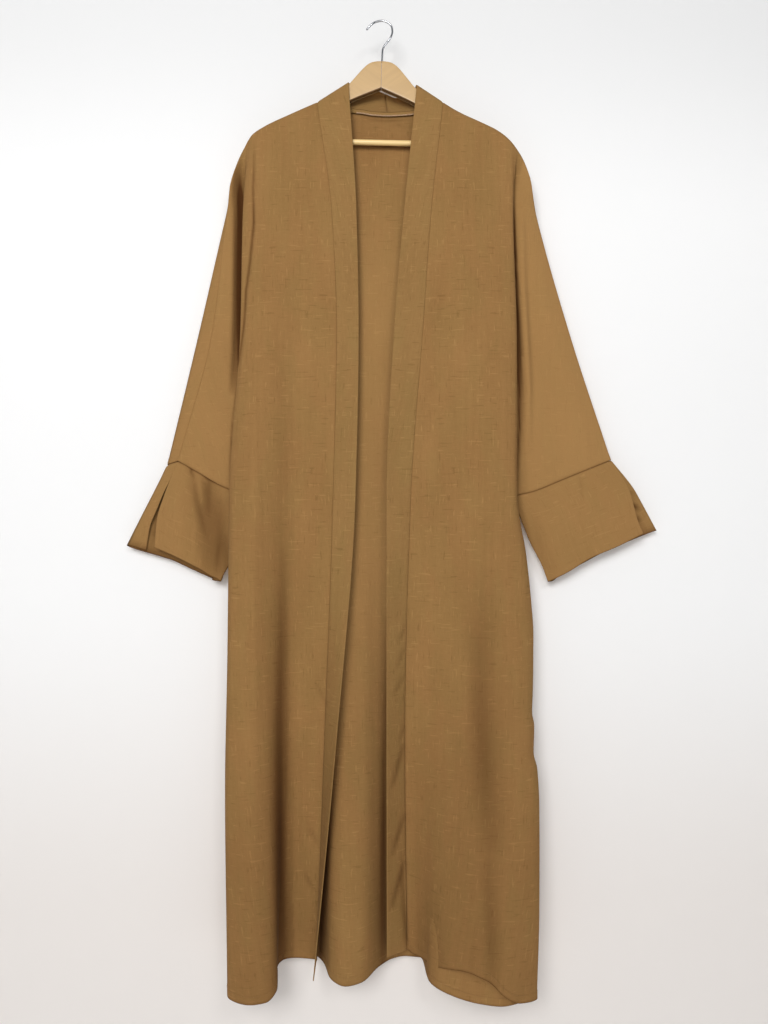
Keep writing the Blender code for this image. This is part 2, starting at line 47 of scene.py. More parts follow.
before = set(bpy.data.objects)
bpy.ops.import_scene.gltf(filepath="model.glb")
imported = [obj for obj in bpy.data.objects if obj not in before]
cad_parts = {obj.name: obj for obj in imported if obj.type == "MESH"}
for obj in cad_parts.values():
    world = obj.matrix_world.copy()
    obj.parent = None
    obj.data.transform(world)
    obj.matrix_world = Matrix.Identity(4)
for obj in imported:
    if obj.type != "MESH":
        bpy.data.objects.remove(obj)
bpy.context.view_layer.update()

MM = 0.001
HANGER_OUT = 50.0

# Heights of the sections that the line tables name, below the hook seat
CHEST = -310.0
WAIST = -500.0
UNDERARM = -775.0
KNEE = -1160.0

# Rows of the cloth grids: the turns over the shoulder, then each run's pitch and the extra rows
# that a seam or hem at its end needs, as distances above that end
CREST_TURNS = (0, 0.1, 0.22, 0.4, 0.7, 1.05, 1.35, math.pi / 2)
CREST_DROP = 8.0
ROW_PITCH = 4.0
UPPER_RUN = 600.0
CUFF_SEAM_ROWS = (0.5, 1.2, 2.2)
LOWER_RUN = 765.0
HEM_ROWS = (0.5, 1.2, 6.0, 11.6, 12.4)
HEM_DEPTH = 12.0
FRONT_PITCH = 3.9
BACK_PITCH = 7.0
# Columns lie closer together from these lines to the next ones, where narrow folds run
FOLD_LINES = ("bulge", "bulge_d", "shoulder", "side_seam")
FOLD_PITCH = 2.0
LEAST_COLUMNS = 2
# How strongly columns crowd toward a seam
CROWDING = 1.6
SEAM_INSET = 0.12

# Height of the shoulder seam by x, running on down the top of each sleeve
SHOULDER_RIGHT = ((-247, -260), (-244.5, -252), (-233.5, -222.5), (-222, -200.5), (-213.5, -187),
                  (-193, -172), (-151.5, -152), (-105, -131.5))
SHOULDER_LEFT = ((97, -131.5), (121.5, -146.5), (152.5, -161), (185.5, -177), (198, -186),
                 (213, -201), (226.5, -219.5), (238, -246.5), (241, -256))
ARM_REACH = 213.0
SEAM_SETBACK = 0.115
# How far the lines at the sleeve's top lean outward as they turn over the seam, and over what x
CREST_LEAN = 2.2
LEAN_REACH = 27.0

# A line's x and out are read at the shoulder, chest, waist, underarm or cuff, knee and hem.
# end is the height at the hem, None on a sleeve line, and low the height at the underarm or cuff.
Line = namedtuple("Line", "name x out end low", defaults=(UNDERARM,))

FRONT_RIGHT = (
    Line("band_seam", (-105, -82, -74, -80, -95, -110), (59, 60, 60, 58, 43, 24), -1537),
    Line("trough", (-124, -108, -106, -112, -122, -138), (59, 60.5, 61, 58, 42, 22), -1535),
    Line("wall_foot", (-146, -136, -140, -146, -150, -163), (59, 61, 60, 56, 42, 30), -1533),
    Line("wall_low", (-157, -150, -154, -160, -161, -171), (59, 61.6, 61, 58.5, 51, 46), -1534),
    Line("wall_top", (-168, -164, -168, -174, -171, -166), (59, 62, 62, 62, 66, 86), -1545),
    Line("wall_crest", (-179, -176, -181, -189, -187, -180), (59, 62.6, 62.7, 66.5, 81, 102),
        -1556),
    Line("bulge", (-190, -188, -194, -206, -206, -206), (59, 63, 63, 72, 90, 110), -1555),
    Line("shoulder", (-209, -208, -212, -236, -240, -239), (59, 61, 61, 68, 84, 98), -1552),
    Line("side_fold", (-217, -226, -230, -247.5, -249, -243), (55, 52, 53, 56, 66, 84), -1550),
    Line("return", (-223, -222, -222, -232, -240, -238), (53, 39, 39, 42, 50, 64), -1546),
    Line("side_seam", (-229, -231, -232, -199, -205, -226), (52, 28, 27, 24, 34, 44), -1542, -780),
    Line("sleeve_a", (-234, -243, -244, -228), (51, 37, 36, 29), None, -768),
    Line("sleeve_b", (-238.5, -247, -257, -268), (50.5, 37, 36, 29), None, -751),
    Line("sleeve_c", (-243, -251, -269, -306), (49.5, 37, 35, 29), None, -729),
    Line("overarm", (-247, -256, -280, -338), (46, 36, 34, 28), None, -711),
)

FRONT_LEFT = (
    Line("band_seam", (97, 78.5, 65, 45.5, 36.5, 40.5), (59, 60, 60, 57, 46, 22), -1522),
    Line("trough", (112, 98, 91, 62, 50, 53.5), (59, 59, 57, 57, 48, 27), -1527),
    Line("wall_foot", (130, 120, 114, 84, 68, 64), (59, 61, 62, 60, 54, 38), -1526),
    Line("wall_top", (148, 142, 138, 108, 90, 82), (59, 61.5, 63, 62, 62, 68), -1521),
    Line("bulge_a", (165, 162, 158, 134, 112, 99), (59, 61.5, 63, 64, 70, 88), -1513),
    Line("bulge_b", (181, 179, 178, 162, 144, 126), (59, 61.5, 63, 65, 77, 102), -1508),
    Line("bulge_c", (195, 194, 195, 186, 178, 161), (59, 61, 62, 64, 80, 112), -1517),
    Line("bulge_d", (206, 203, 206, 203, 206, 188), (58.5, 60, 60, 61, 79, 113), -1541),
    Line("shoulder", (211, 209, 213, 214, 231, 213), (57, 57, 57, 56, 74, 107), -1554),
    Line("side_fold", (215.5, 211.5, 217, 219, 243, 242), (55, 51, 51, 47, 62, 91), -1556),
    Line("return", (219.5, 206, 209, 214, 240, 242), (53, 41, 40, 36, 50, 83), -1556),
    Line("side_seam", (223.5, 203, 203, 211, 228, 238), (52, 33, 30, 24, 42, 77), -1556, -772),
    Line("sleeve_a", (227.5, 219, 235, 252), (51, 36, 35, 29), None, -760),
    Line("sleeve_b", (231.5, 228, 258, 296), (50, 37, 35, 29), None, -742),
    Line("sleeve_c", (236, 240, 282, 338), (49, 36, 34, 29), None, -725),
    Line("overarm", (240, 254, 308.5, 378), (46, 32, 29, 25), None, -709),
)

BACK = (
    FRONT_RIGHT[-1],
    Line("sleeve_fold_right", (-243, -259, -304, -357.5), (43, 30, 26, 21), None, -717),
    Line("sleeve_b_right", (-237, -252, -282, -322), (42.5, 21, 17, 15), None, -731),
    Line("sleeve_a_right", (-231, -243, -257, -262), (42.5, 21, 16, 15), None, -755),
    Line("side_right", (-223.5, -230, -228, -199, -205, -226), (43, 21, 18, 24, 34, 44), -1542,
        -780),
    Line("pleat_1", (-212, -203, -192, -173, -182, -192), (43, 32, 31, 27, 20, 14), -1540),
    Line("pleat_2", (-185, -172, -160, -144, -150, -150), (41, 38, 36, 31, 17, 10), -1538),
    Line("pleat_3", (-146, -138, -128, -116, -118, -114), (41, 39, 38, 34, 20, 10), -1538),
    Line("neck_right", (-105, -105, -102, -96, -98, -98), (41, 40, 39, 36, 28, 26), -1539),
    Line("pleat_4", (-100, -96, -92, -84, -80, -82), (41, 40, 39, 38, 42, 64), -1544),
    Line("pleat_5", (-74, -72, -68, -62, -58, -59), (41, 40, 40, 41, 48, 77), -1547),
    Line("pleat_6", (-36, -38, -38, -36, -32, -34), (40, 40, 40, 40, 44, 70), -1545),
    Line("pleat_7", (-14, -14, -14, -14, -8, -6), (40, 40, 40, 37, 32, 40), -1538),
    Line("centre", (8, 10, 12, 12, 10, 14), (40, 40, 39, 34, 24, 22), -1537),
    Line("pleat_8", (38, 40, 42, 42, 36, 40), (40, 40, 38, 31, 20, 12), -1538),
    Line("pleat_9", (68, 70, 72, 68, 62, 64), (41, 39, 37, 29, 24, 14), -1539),
    Line("pleat_10", (92, 94, 96, 90, 80, 75), (41, 39, 37, 31, 36, 64), -1547),
    Line("neck_left", (97, 106, 114, 108, 100, 91), (41, 39, 37, 33, 50, 82), -1550),
    Line("pleat_11", (125, 132, 136, 130, 124, 118), (41, 39, 36, 35, 56, 91), -1557),
    Line("pleat_12", (155, 157, 158, 154, 152, 150), (41, 38, 35, 36, 60, 97), -1562),
    Line("pleat_13", (182, 180, 180, 178, 184, 184), (41, 35, 32, 34, 61, 99), -1564),
    Line("pleat_14", (206, 195, 196, 199, 212, 213), (43, 30, 26, 29, 55, 95), -1561),
    Line("side_left", (217, 206, 210, 211, 228, 238), (43, 25, 19, 24, 42, 77), -1556, -772),
    Line("sleeve_a_left", (224, 224, 240, 254), (42.5, 22, 16, 15), None, -759),
    Line("sleeve_b_left", (231, 238, 272, 315), (42.5, 21, 16, 15), None, -734),
    Line("sleeve_fold_left", (237, 250, 304, 372), (42.5, 26, 22, 19), None, -712),
    FRONT_LEFT[-1],
)
# How much further out each side of the body stands below the underarm, by height
SIDE_SWELL = {
    "right": ((-780, 0), (-1000, 0), (-1250, 2.5), (-1560, 1)),
    "left": ((-780, 0), (-810, 3.5), (-865, 10), (-917, 11.5), (-970, 11), (-1030, 6), (-1084, 1),
             (-1120, -2), (-1136, 0.5), (-1181, -1), (-1206, 4.5), (-1261, 7), (-1423, 5),
             (-1544, 0)),
}
SWELL_FROM = 150.0
SWELL_REACH = 60.0
FRONT_SEAMS = ("band_seam", "side_seam", "overarm")
BACK_SEAMS = ("overarm", "side_right", "side_left")

# Height of the back neck seam by x, between the ends of the two shoulder seams
NECK_SEAM = ((-105, -131.5), (-100, -133), (-74, -135), (-36, -138), (-14, -141.4), (8, -142.5),
             (38, -141), (68, -137.5), (92, -133), (97, -131.5))

# The free edge of each band: x and out as on a line, then its top height and its hem height
BAND_EDGE = {
    "right": ((-54.5, -42, -38.3, -43.6, -73.5, -111), (59.5, 60.5, 61, 62, 76, 66), -99.5, -1546),
    "left": ((54.5, 34.5, 18.4, 6.1, 6.4, 7), (59.5, 61, 62, 66, 72, 46), -103.5, -1520),
}
# The free edge behind the neck, at each back line from the shoulder seam to the centre: x, out, z
NECK_EDGE = {
    "right": ((-53.5, 50, -99.5), (-53.5, 41, -100), (-44, 36, -100), (-26, 30, -98),
              (-8, 28, -100), (3.5, 27, -104)),
    "left": ((53.5, 50, -103.5), (53.2, 41, -104), (42, 34, -107), (23, 27, -111),
             (4.5, 27, -104.5)),
}
# Where a band's columns lie across it, crowded at the seam and at the folded edge
BAND_SHARES = (0, 0.02, 0.06, 0.13, 0.24, 0.36, 0.48, 0.60, 0.72, 0.83, 0.92, 0.97, 0.99, 1)
NECK_LIFT = 0.3
# How far the right band's end goes past the left one's and behind it, at the centre back
BAND_LAP = 1.6

# Each cuff, line by line round the sleeve: points on the way down, each with its share of the
# depth, and the point on the edge, as x, out, z
CUFF_RIGHT = {
    "slit_front": (((0.2, (-349.8, 29.7, -741)), (0.42, (-361, 31, -771)),
                    (0.64, (-371, 31.5, -803))), (-376.6, 30, -854)),
    "front_c": ((), (-342, 30, -868)),
    "front_b": ((), (-307, 29, -887)),
    "front_a": ((), (-280, 27, -903)),
    "inner_fold": ((), (-265, 21, -909)),
    "back_a": ((), (-283, 15, -906)),
    "back_b": ((), (-345, 14, -878)),
    "outer_fold": ((), (-427, 15, -851)),
    "slit_back": (((0.2, (-350.3, 29.6, -741)), (0.38, (-363.3, 28, -767)),
                   (0.55, (-374.5, 25.5, -792)), (0.72, (-386, 22.5, -818))), (-394, 18, -859)),
}
CUFF_LEFT = {
    "slit_front": (((0.2, (394, 28.5, -734)), (0.4, (406.8, 30.5, -758.5)),
                    (0.64, (414.5, 32, -788)), (0.8, (420, 32, -808))), (430, 31, -831)),
    "front_c": ((), (392, 30, -850)),
    "front_b": ((), (340, 30, -873)),
    "front_a": ((), (297, 28, -899)),
    "inner_fold": ((), (269, 22, -911)),
    "back_a": ((), (300, 15, -898)),
    "back_b": ((), (370, 14, -862)),
    "outer_fold": ((), (448, 15, -829)),
    "slit_back": (((0.4, (418, 20, -757)), (0.56, (428.5, 19, -775))), (457, 16, -826)),
}
CUFFS = {"right": CUFF_RIGHT, "left": CUFF_LEFT}
# How many lines of a sleeve each cuff has on each side of the slit, and how far past the last
# of them, toward the side seam, its inner fold stands
SLEEVE_LINES = 3.0
FOLD_SHARE = 0.8
CUFF_ROWS = (0, 0.004, 0.01, 0.02) + tuple(np.linspace(0.035, 0.97, 32)) + (0.985, 0.993, 0.998, 1)

ALLOWANCE_FROM = "pleat_5"
ALLOWANCE_TO = "pleat_9"
ALLOWANCE_WIDE = 7.0

# A crease pushes the cloth out by deep at its middle, or in where deep is negative. wide is how
# far that reaches, lean makes one flank longer, and sharp is 2 for a soft round crease and near
# 1 for a pressed one. The path runs through points as x, z.
Crease = namedtuple("Crease", "deep wide sharp path lean", defaults=(0,))

FRONT_CREASES = (
    # Right side: the pleat beside the sleeve, the deep gap and the sleeve's roll
    Crease(-4.2, 2.0, 1.4, ((-205.8, -205), (-207.9, -280), (-206.8, -331), (-213.5, -396),
        (-220, -439), (-223, -490), (-230, -550), (-236, -620))),
    Crease(-12, 6.5, 2.4, ((-235, -215), (-237, -300), (-238.5, -470), (-241, -540), (-246, -605))),
    # Left side: the narrow gap between body and sleeve
    Crease(7.0, 7.0, 2.4, ((226, -300), (229, -423), (234, -515), (238, -590), (238, -700))),
    Crease(-5.0, 1.9, 1.6, ((212, -250), (217, -331), (218.7, -423), (222.4, -515), (225.9, -590),
        (226.5, -644), (224.5, -700), (221, -760))),
    # Left hip and knee
    Crease(-3.6, 24, 2.0, ((164, -880), (154, -1010), (156, -1150), (168, -1330)), 0.1),
    Crease(-1.6, 14, 2.0, ((168, -1300), (167, -1420), (171, -1520)), 0.3),
    # The left band's seam sinking at the hem
    Crease(-4.5, 3.2, 1.5, ((32, -1350), (34, -1420), (39, -1500), (50, -1540))),
    # Slanting wrinkles beside the bands
    Crease(-2.6, 3.0, 1.6, ((38, -978), (27, -1006))),
    Crease(-2.6, 3.0, 1.6, ((36, -1016), (23, -1048))),
    Crease(-2.8, 3.0, 1.6, ((36, -1060), (18, -1090))),
    Crease(-2.4, 3.0, 1.6, ((37, -1142), (26, -1170))),
    Crease(-5.0, 4.4, 1.6, ((34, -1170), (15, -1240)), 0.3),
    Crease(-4.6, 4.4, 1.6, ((36, -1286), (15, -1352)), 0.3),
    Crease(-5.0, 4.8, 1.6, ((36, -1366), (13, -1446)), 0.3),
    Crease(-2.2, 2.8, 1.6, ((-112, -1068), (-88, -1114))),
    Crease(-2.2, 2.8, 1.6, ((-123, -1312), (-104, -1346))),
    Crease(-2.4, 3.0, 1.6, ((-131, -1388), (-106, -1430))),
)
# Shades are paths like creases that only paint shade into the cloth's colour, where deep folds keep
# the light out.
# deep is how far that goes, from 0 to 1
FRONT_SHADES = (
    # The right front's long trough, its fold beside it and the pleat by the sleeve
    Crease(0.16, 17, 2.0, ((-160, -400), (-163, -740), (-165, -1098), (-165, -1600))),
    Crease(0.5, 8.5, 2.2, ((-160, -840), (-164, -1040), (-167, -1120), (-168, -1259), (-167, -1388),
        (-166, -1484), (-166, -1610))),
    Crease(0.55, 1.5, 1.6, ((-207, -195), (-209, -276), (-208, -328), (-214.5, -393), (-221, -437),
        (-223.4, -487), (-232, -549), (-238, -576), (-247.5, -647), (-250.6, -704), (-251, -760))),
    # The left front's line beside its sleeve, hip, knee and hem
    Crease(0.65, 1.7, 1.6, ((210, -215), (215.7, -334), (217.5, -425), (221.2, -517), (224.6, -591),
        (225.5, -645), (223, -700), (219.7, -790))),
    Crease(0.14, 16, 2.0, ((164, -960), (158, -1080), (162, -1200), (170, -1330))),
    Crease(0.16, 12, 2.0, ((162, -1330), (166, -1430), (171, -1570))),
    Crease(0.35, 1.5, 1.6, ((-247.5, -647), (-250.6, -704), (-251, -760))),
    # Less light reaches the hems and the shoulders
    Crease(0.21, 80, 2.4, ((150, -1060), (150, -1750))),
    Crease(0.15, 60, 2.4, ((-205, -1160), (-205, -1800))),
    Crease(0.10, 80, 2.4, ((-230, -130), (230, -130))),
)
BACK_SHADES = (
    # Under the bar and the folds beside the neck
    Crease(0.9, 1.5, 2.4, ((-34, -196), (10, -197.2), (46, -197.6))),
    Crease(0.16, 80, 2.4, ((-60, -150), (60, -150))),
    Crease(0.28, 1.5, 1.6, ((-46, -152), (0, -155), (50, -154))),
    Crease(0.22, 1.3, 1.6, ((2, -159.5), (24, -162), (50, -166))),
    # Deep folds beside the bands, toward the hem
    Crease(0.75, 6.5, 1.8, ((9, -960), (6, -1107), (3, -1207), (1, -1323), (0, -1439), (0.5, -1522),
        (1, -1640))),
    Crease(0.2, 14, 2.0, ((2, -1250), (-6, -1400), (-6, -1640))),
    Crease(0.85, 5, 1.8, ((-78, -1190), (-88, -1304), (-95, -1384), (-100, -1448), (-103, -1512),
        (-105, -1620))),
)
BACK_CREASES = (
    Crease(-1.3, 3.2, 1.6, ((-44, -153), (0, -156), (50, -155))),
    Crease(0.8, 2.0, 1.6, ((-6, -159), (24, -162), (50, -165))),
    Crease(-0.9, 2.2, 1.6, ((-20, -160), (12, -166), (50, -171))),
)

# The hanger, drawn level and then tilted about the hook seat
HANGER_TILT = math.radians(1.3)
ARM_THICK = 12.0
ARM_TOP = ((0.2, -66.2), (8, -66.6), (16, -68.3), (24, -73.2), (29, -78), (34, -83.5),
           (40.4, -91.2), (47, -99), (52, -105), (80, -125.5), (106, -142), (152, -164),
           (190, -183), (200, -190), (206, -203))
ARM_UNDER = ((0.2, -110.6), (57, -135.2), (106, -164), (152, -191), (186, -214), (198, -214),
             (206, -203))
BAR_Z = -196.0
BAR_RADIUS = 4.3
BAR_END = 192.0
HOOK_WIRE = 1.65
HOOK_PATH = ((-25, -12.5), (-19.5, -6), (-11, -0.2), (-1, 1.9), (9, -1), (15, -8), (16.2, -16),
             (13.5, -25), (8, -33), (3.2, -40), (0.9, -47), (0.4, -66))

RIGHT_CUFF_CREASES = (
    Crease(6.5, 20.0, 2.0, ((-334, -715), (-336, -800), (-338, -900))),
    Crease(-3.8, 4.6, 1.5, ((-319, -704), (-314, -738), (-309, -772), (-300, -806), (-293, -840))),
    Crease(-4.5, 20.0, 2.0, ((-296, -715), (-290, -800), (-286, -905))),
    Crease(2.6, 5.0, 2.0, ((-303, -730), (-301, -760), (-297, -785))),
    Crease(-2.2, 6.5, 1.6, ((-286, -730), (-289, -765), (-288, -806))),
    Crease(-4.0, 12.0, 2.0, ((-268, -770), (-266, -830), (-272, -915))),
)
LEFT_CUFF_CREASES = (
    Crease(-1.8, 2.6, 1.5, ((326, -732), (331, -782))),
    Crease(-1.4, 9.0, 2.0, ((246, -790), (262, -860), (280, -905))),
)
# Painted shade on each cuff
CUFF_SHADES = {
    "right": (Crease(0.16, 26, 2.4, ((-282, -690), (-280, -930))),
              Crease(0.5, 3.0, 1.6, ((-319.5, -712), (-317.5, -722), (-314, -738))),
              Crease(0.3, 8, 2.0, ((-258, -830), (-254, -940)))),
    "left": (Crease(0.45, 5, 1.8, ((222, -760), (241, -840), (268, -925))),),
}
CUFF_CREASES = {"right": RIGHT_CUFF_CREASES, "left": LEFT_CUFF_CREASES}
# Toward its lower edge each cuff's inner fold lies this much further out
CUFF_TUCK = {"right": 15.0, "left": 6.0}
CUFF_TUCK_FROM = 72
CUFF_TUCK_FADE = 56
CUFF_TUCK_SPREAD = 0.6
# Where the inner fold comes in the cuff tables, and how far past it the front's shades reach
INNER_FOLD = list(CUFF_RIGHT).index("inner_fold")
FOLD_MARGIN = 0.5
# A cuff's ripples as a share of a panel's, and how far below the seam its creases begin
CUFF_RIPPLES = 0.7
CUFF_HOLD = 4.0
# The painted shade on the cloth that shows through the slit, and where in the cuff tables it ends
SLIT_SHADE_TO = {"right": list(CUFF_RIGHT).index("outer_fold"), "left": math.inf}
SLIT_SHADES = {
    "right": (Crease(0.75, 8, 2.4, ((-358, -756), (-366, -776), (-378, -812), (-385, -838))),
              Crease(0.35, 10, 2.4, ((-380, -825), (-384, -880)))),
    "left": (Crease(0.95, 2.8, 1.8, ((413.5, -758), (419.5, -785), (427, -814))),
             Crease(0.3, 6, 2.4, ((425, -800), (435, -840)))),
}

SEEDS = {"front": 0.0, "back": 20.0, "right": 30.0, "left": 40.0}
FRONT_LINES = {"right": FRONT_RIGHT, "left": FRONT_LEFT}
# Each panel's lines, the pitch of its columns, its seams and the lines at its body's two sides
PANELS = {
    "right": (FRONT_RIGHT, FRONT_PITCH, FRONT_SEAMS, ("band_seam", "side_seam")),
    "left": (FRONT_LEFT, FRONT_PITCH, FRONT_SEAMS, ("band_seam", "side_seam")),
    "back": (BACK, BACK_PITCH, BACK_SEAMS, ("side_right", "side_left")),
}
# The two sides, and the sign of x on each
SIDES = {"right": -1, "left": 1}
TINY = 1e-9


def ease(knots, values, at):
    """Read values smoothly between the knots, with no overshoot past them."""
    knots = np.asarray(knots, float)
    values = np.asarray(values, float)
    if knots[0] > knots[-1]:
        knots, values = knots[::-1], values[::-1]
    width = np.diff(knots)
    slope = np.diff(values) / width
    tangent = np.zeros_like(values)
    tangent[0], tangent[-1] = slope[0], slope[-1]
    for i in range(1, len(knots) - 1):
        if slope[i - 1] * slope[i] > 0:
            before = width[i] * 2 + width[i - 1]
            after = width[i] + width[i - 1] * 2
            tangent[i] = (before + after) / (before / slope[i - 1] + after / slope[i])
    at = np.clip(np.asarray(at, float), knots[0], knots[-1])
    i = np.clip(np.searchsorted(knots, at) - 1, 0, len(knots) - 2)
    t = (at - knots[i]) / width[i]
    return (values[i] * (1 + 2 * t) * (1 - t) ** 2 + tangent[i] * width[i] * t * (1 - t) ** 2
            + values[i + 1] * t * t * (3 - 2 * t) - tangent[i + 1] * width[i] * t * t * (1 - t))


def ease_points(knots, points, at):
    return np.stack([ease(knots, part, at) for part in np.asarray(points, float).T], axis=-1)


def read_table(table, x):
    knots, values = zip(*table)
    return float(ease(knots, values, x))


def smooth(value):
    """From 0 to 1 with no corner at either end."""
    value = np.clip(value, 0, 1)
    return value * value * (3 - 2 * value)


def bell(distance, reach):
    """1 where the distance is 0, fading away past the reach."""
    return np.exp(-(distance / reach) ** 2)


def unit(vector):
    return vector / np.maximum(np.linalg.norm(vector, axis=-1, keepdims=True), TINY)


def travelled(points, axis=0):
    """Distance of each point from the first one, measured along an axis of the grid."""
    step = np.nan_to_num(np.linalg.norm(np.diff(points, axis=axis), axis=-1))
    return np.insert(np.cumsum(step, axis=axis), 0, 0, axis=axis)


def run_shares(length, extra):
    """Shares of a run's length at the row pitch, with extra rows at distances above its end."""
    even = np.linspace(0, 1, round(length / ROW_PITCH) + 1)
    near = [1 - distance / length for distance in extra]
    return np.array(sorted(set(even) | set(near)))[1:]


UPPER_SHARES = run_shares(UPPER_RUN, CUFF_SEAM_ROWS)
LOWER_SHARES = run_shares(LOWER_RUN, HEM_ROWS)
LOW_ROW = len(CREST_TURNS) + len(UPPER_SHARES) - 1


def seam_top(x):
    """The height and out of the seam where the line at x starts. At the neck, out is the line's."""
    if SHOULDER_RIGHT[-1][0] < x < SHOULDER_LEFT[0][0]:
        return read_table(NECK_SEAM, x), None
    setback = max(0.0, abs(x) - ARM_REACH) * SEAM_SETBACK
    return read_table(SHOULDER_RIGHT if x < 0 else SHOULDER_LEFT, x), HANGER_OUT - setback


def line_points(line, top=None):
    """Points down one line: over the crest, down to the underarm or cuff, then on to the hem."""
    top_z, seam_out = seam_top(line.x[0]) if top is None else (top, HANGER_OUT)
    first_out = line.out[0]
    if seam_out is None:
        seam_out = first_out
    drop = max(CREST_DROP, abs(first_out - seam_out))
    turn = np.array(CREST_TURNS)
    lean = CREST_LEAN * np.clip((abs(line.x[0]) - ARM_REACH) / LEAN_REACH, 0, 1)
    lean *= np.sign(line.x[0])
    crest = np.stack([line.x[0] + lean * (1 - np.cos(turn)),
                      seam_out + (first_out - seam_out) * np.sin(turn),
                      top_z - drop * (1 - np.cos(turn))], axis=-1)
    start = top_z - drop
    heights = [start, CHEST, WAIST, line.low]
    rows = start + (line.low - start) * UPPER_SHARES
    if line.end is not None:
        heights += [KNEE, line.end]
        rows = np.append(rows, line.low + (line.end - line.low) * LOWER_SHARES)
    across = ease(heights, (line.x[0] + lean, *line.x[1:]), rows)
    return np.vstack([crest, np.stack([across, ease(heights, line.out, rows), rows], axis=-1)])


def crowd(count, at_start, at_end):
    """Shares of the gap between two lines, crowded toward whichever of them is a seam."""
    share = np.arange(count) / count
    if at_start and at_end:
        return smooth(share)
    if at_start:
        return share ** CROWDING
    return 1 - (1 - share) ** CROWDING if at_end else share


def panel_grid(lines, pitch, seams):
    """A fine grid through the lines, and where each of its columns lies, counted in lines."""
    runs = [line_points(line) for line in lines]
    stations = []
    for i in range(len(lines) - 1):
        shared = min(len(runs[i]), len(runs[i + 1]))
        widest = np.linalg.norm(runs[i][:shared] - runs[i + 1][:shared], axis=1).max()
        near = FOLD_PITCH if lines[i].name in FOLD_LINES else pitch
        count = max(LEAST_COLUMNS, math.ceil(widest / near))
        stations.extend(i + crowd(count, lines[i].name in seams, lines[i + 1].name in seams))
    stations = np.array(stations + [len(lines) - 1.0])
    grid = np.full((max(len(run) for run in runs), len(stations), 3), np.nan)
    for row in range(len(grid)):
        held = [i for i, run in enumerate(runs) if len(run) > row]
        first, last = held[0], held[-1]
        keys = np.array([runs[i][row] for i in range(first, last + 1)])
        length = travelled(keys)
        inside = (stations >= first) & (stations <= last)
        at = np.interp(stations[inside] - first, np.arange(len(keys)), length)
        grid[row, inside] = ease_points(length, keys, at)
    return grid, stations


def swell_sides(grid, side_columns):
    """Moves the sides of the body, below the underarm, by their swell."""
    first, last = side_columns
    body = grid[LOW_ROW:, first:last + 1]
    for side, sign in SIDES.items():
        share = smooth((body[..., 0] * sign - SWELL_FROM) / SWELL_REACH)
        heights, swell = zip(*SIDE_SWELL[side])
        body[..., 0] += sign * share * ease(heights, swell, body[..., 2])


def column_of(lines, stations, name):
    index = [line.name for line in lines].index(name)
    return int(np.argmin(abs(stations - index)))


def block_normals(grid):
    return unit(np.cross(np.gradient(grid, axis=1), np.gradient(grid, axis=0)))


def panel_normals(grid, side_columns):
    """Normals of a panel, worked out apart for its upper rows and its body below the underarm."""
    first, last = side_columns
    normals = np.full(grid.shape, np.nan)
    normals[LOW_ROW:, first:last + 1] = block_normals(grid[LOW_ROW:, first:last + 1])
    normals[:LOW_ROW + 1] = block_normals(grid[:LOW_ROW + 1])
    return normals


def distances(grid, side_columns):
    """Distance of each point from its row's two ends, the top, a cuff seam and the hem."""
    along, down = travelled(grid, 1), travelled(grid)
    first, last = side_columns
    start, end = along[:, :1].copy(), along[:, -1:].copy()
    start[LOW_ROW + 1:] = along[LOW_ROW + 1:, first:first + 1]
    end[LOW_ROW + 1:] = along[LOW_ROW + 1:, last:last + 1]
    cuff = np.full(down.shape, np.inf)
    sleeve = np.ones(grid.shape[1], bool)
    sleeve[first:last + 1] = False
    cuff[:LOW_ROW + 1, sleeve] = down[LOW_ROW, sleeve] - down[:LOW_ROW + 1, sleeve]
    return along - start, end - along, down, cuff, down[-1] - down


def face_place(grid):
    return np.nan_to_num(grid[..., 0]), np.nan_to_num(grid[..., 2])


CREASE_FADE = 0.6


def crease_push(creases, grid):
    """How far the creases push the cloth out at each grid point."""
    x, z = face_place(grid)
    total = np.zeros(x.shape)
    for crease in creases:
        path = np.array(crease.path, float)
        lengths = travelled(path)
        nearest = np.full(x.shape, np.inf)
        along, flank = np.zeros(x.shape), np.zeros(x.shape)
        for a, b, before in zip(path[:-1], path[1:], lengths):
            step = b - a
            share = np.clip(((x - a[0]) * step[0] + (z - a[1]) * step[1]) / (step @ step), 0, 1)
            dx, dz = x - a[0] - share * step[0], z - a[1] - share * step[1]
            far = np.hypot(dx, dz)
            closer = far < nearest
            nearest = np.where(closer, far, nearest)
            along = np.where(closer, before + share * np.linalg.norm(step), along)
            flank = np.where(closer, np.sign(step[0] * dz - step[1] * dx), flank)
        wide = crease.wide * (1 + crease.lean * flank)
        fade = np.sin(math.pi * np.clip(along / lengths[-1], 0, 1)) ** CREASE_FADE
        total += crease.deep * fade * np.exp(-(nearest / wide) ** crease.sharp)
    return total


def soft_noise(x, z, wide, tall, seed):
    """A smooth random height at each x and z, about -1 to 1, stretched to wide by tall."""
    flat = [noise.noise((a / wide, b / tall, seed)) for a, b in zip(x.ravel(), z.ravel())]
    return np.array(flat).reshape(x.shape)


# Soft ripples of hanging cloth: height, width, length and seed
RIPPLES = ((1.6, 62, 380, 3.7), (0.6, 26, 150, 8.1), (0.22, 9, 34, 5.3))


def ripple_push(grid, seed):
    return sum(high * soft_noise(*face_place(grid), wide, tall, seed + shift)
               for high, wide, tall, shift in RIPPLES)


def front_push(grid, seed):
    return crease_push(FRONT_CREASES, grid) + ripple_push(grid, seed)


SEAM_DIP = 0.8
SEAM_SOFT = 1.7
CUFF_DIP = 1.6
CUFF_SOFT = 2.2
CORNER_REACH = 14.0
PUCKER = 0.3
PUCKER_REACH = 9.0
PUCKER_PITCH = 7.0
PUCKER_SEED = 2
HOLD_REACH = 30.0
TOP_HOLD = 45.0
NECK_HOLD = 8.0


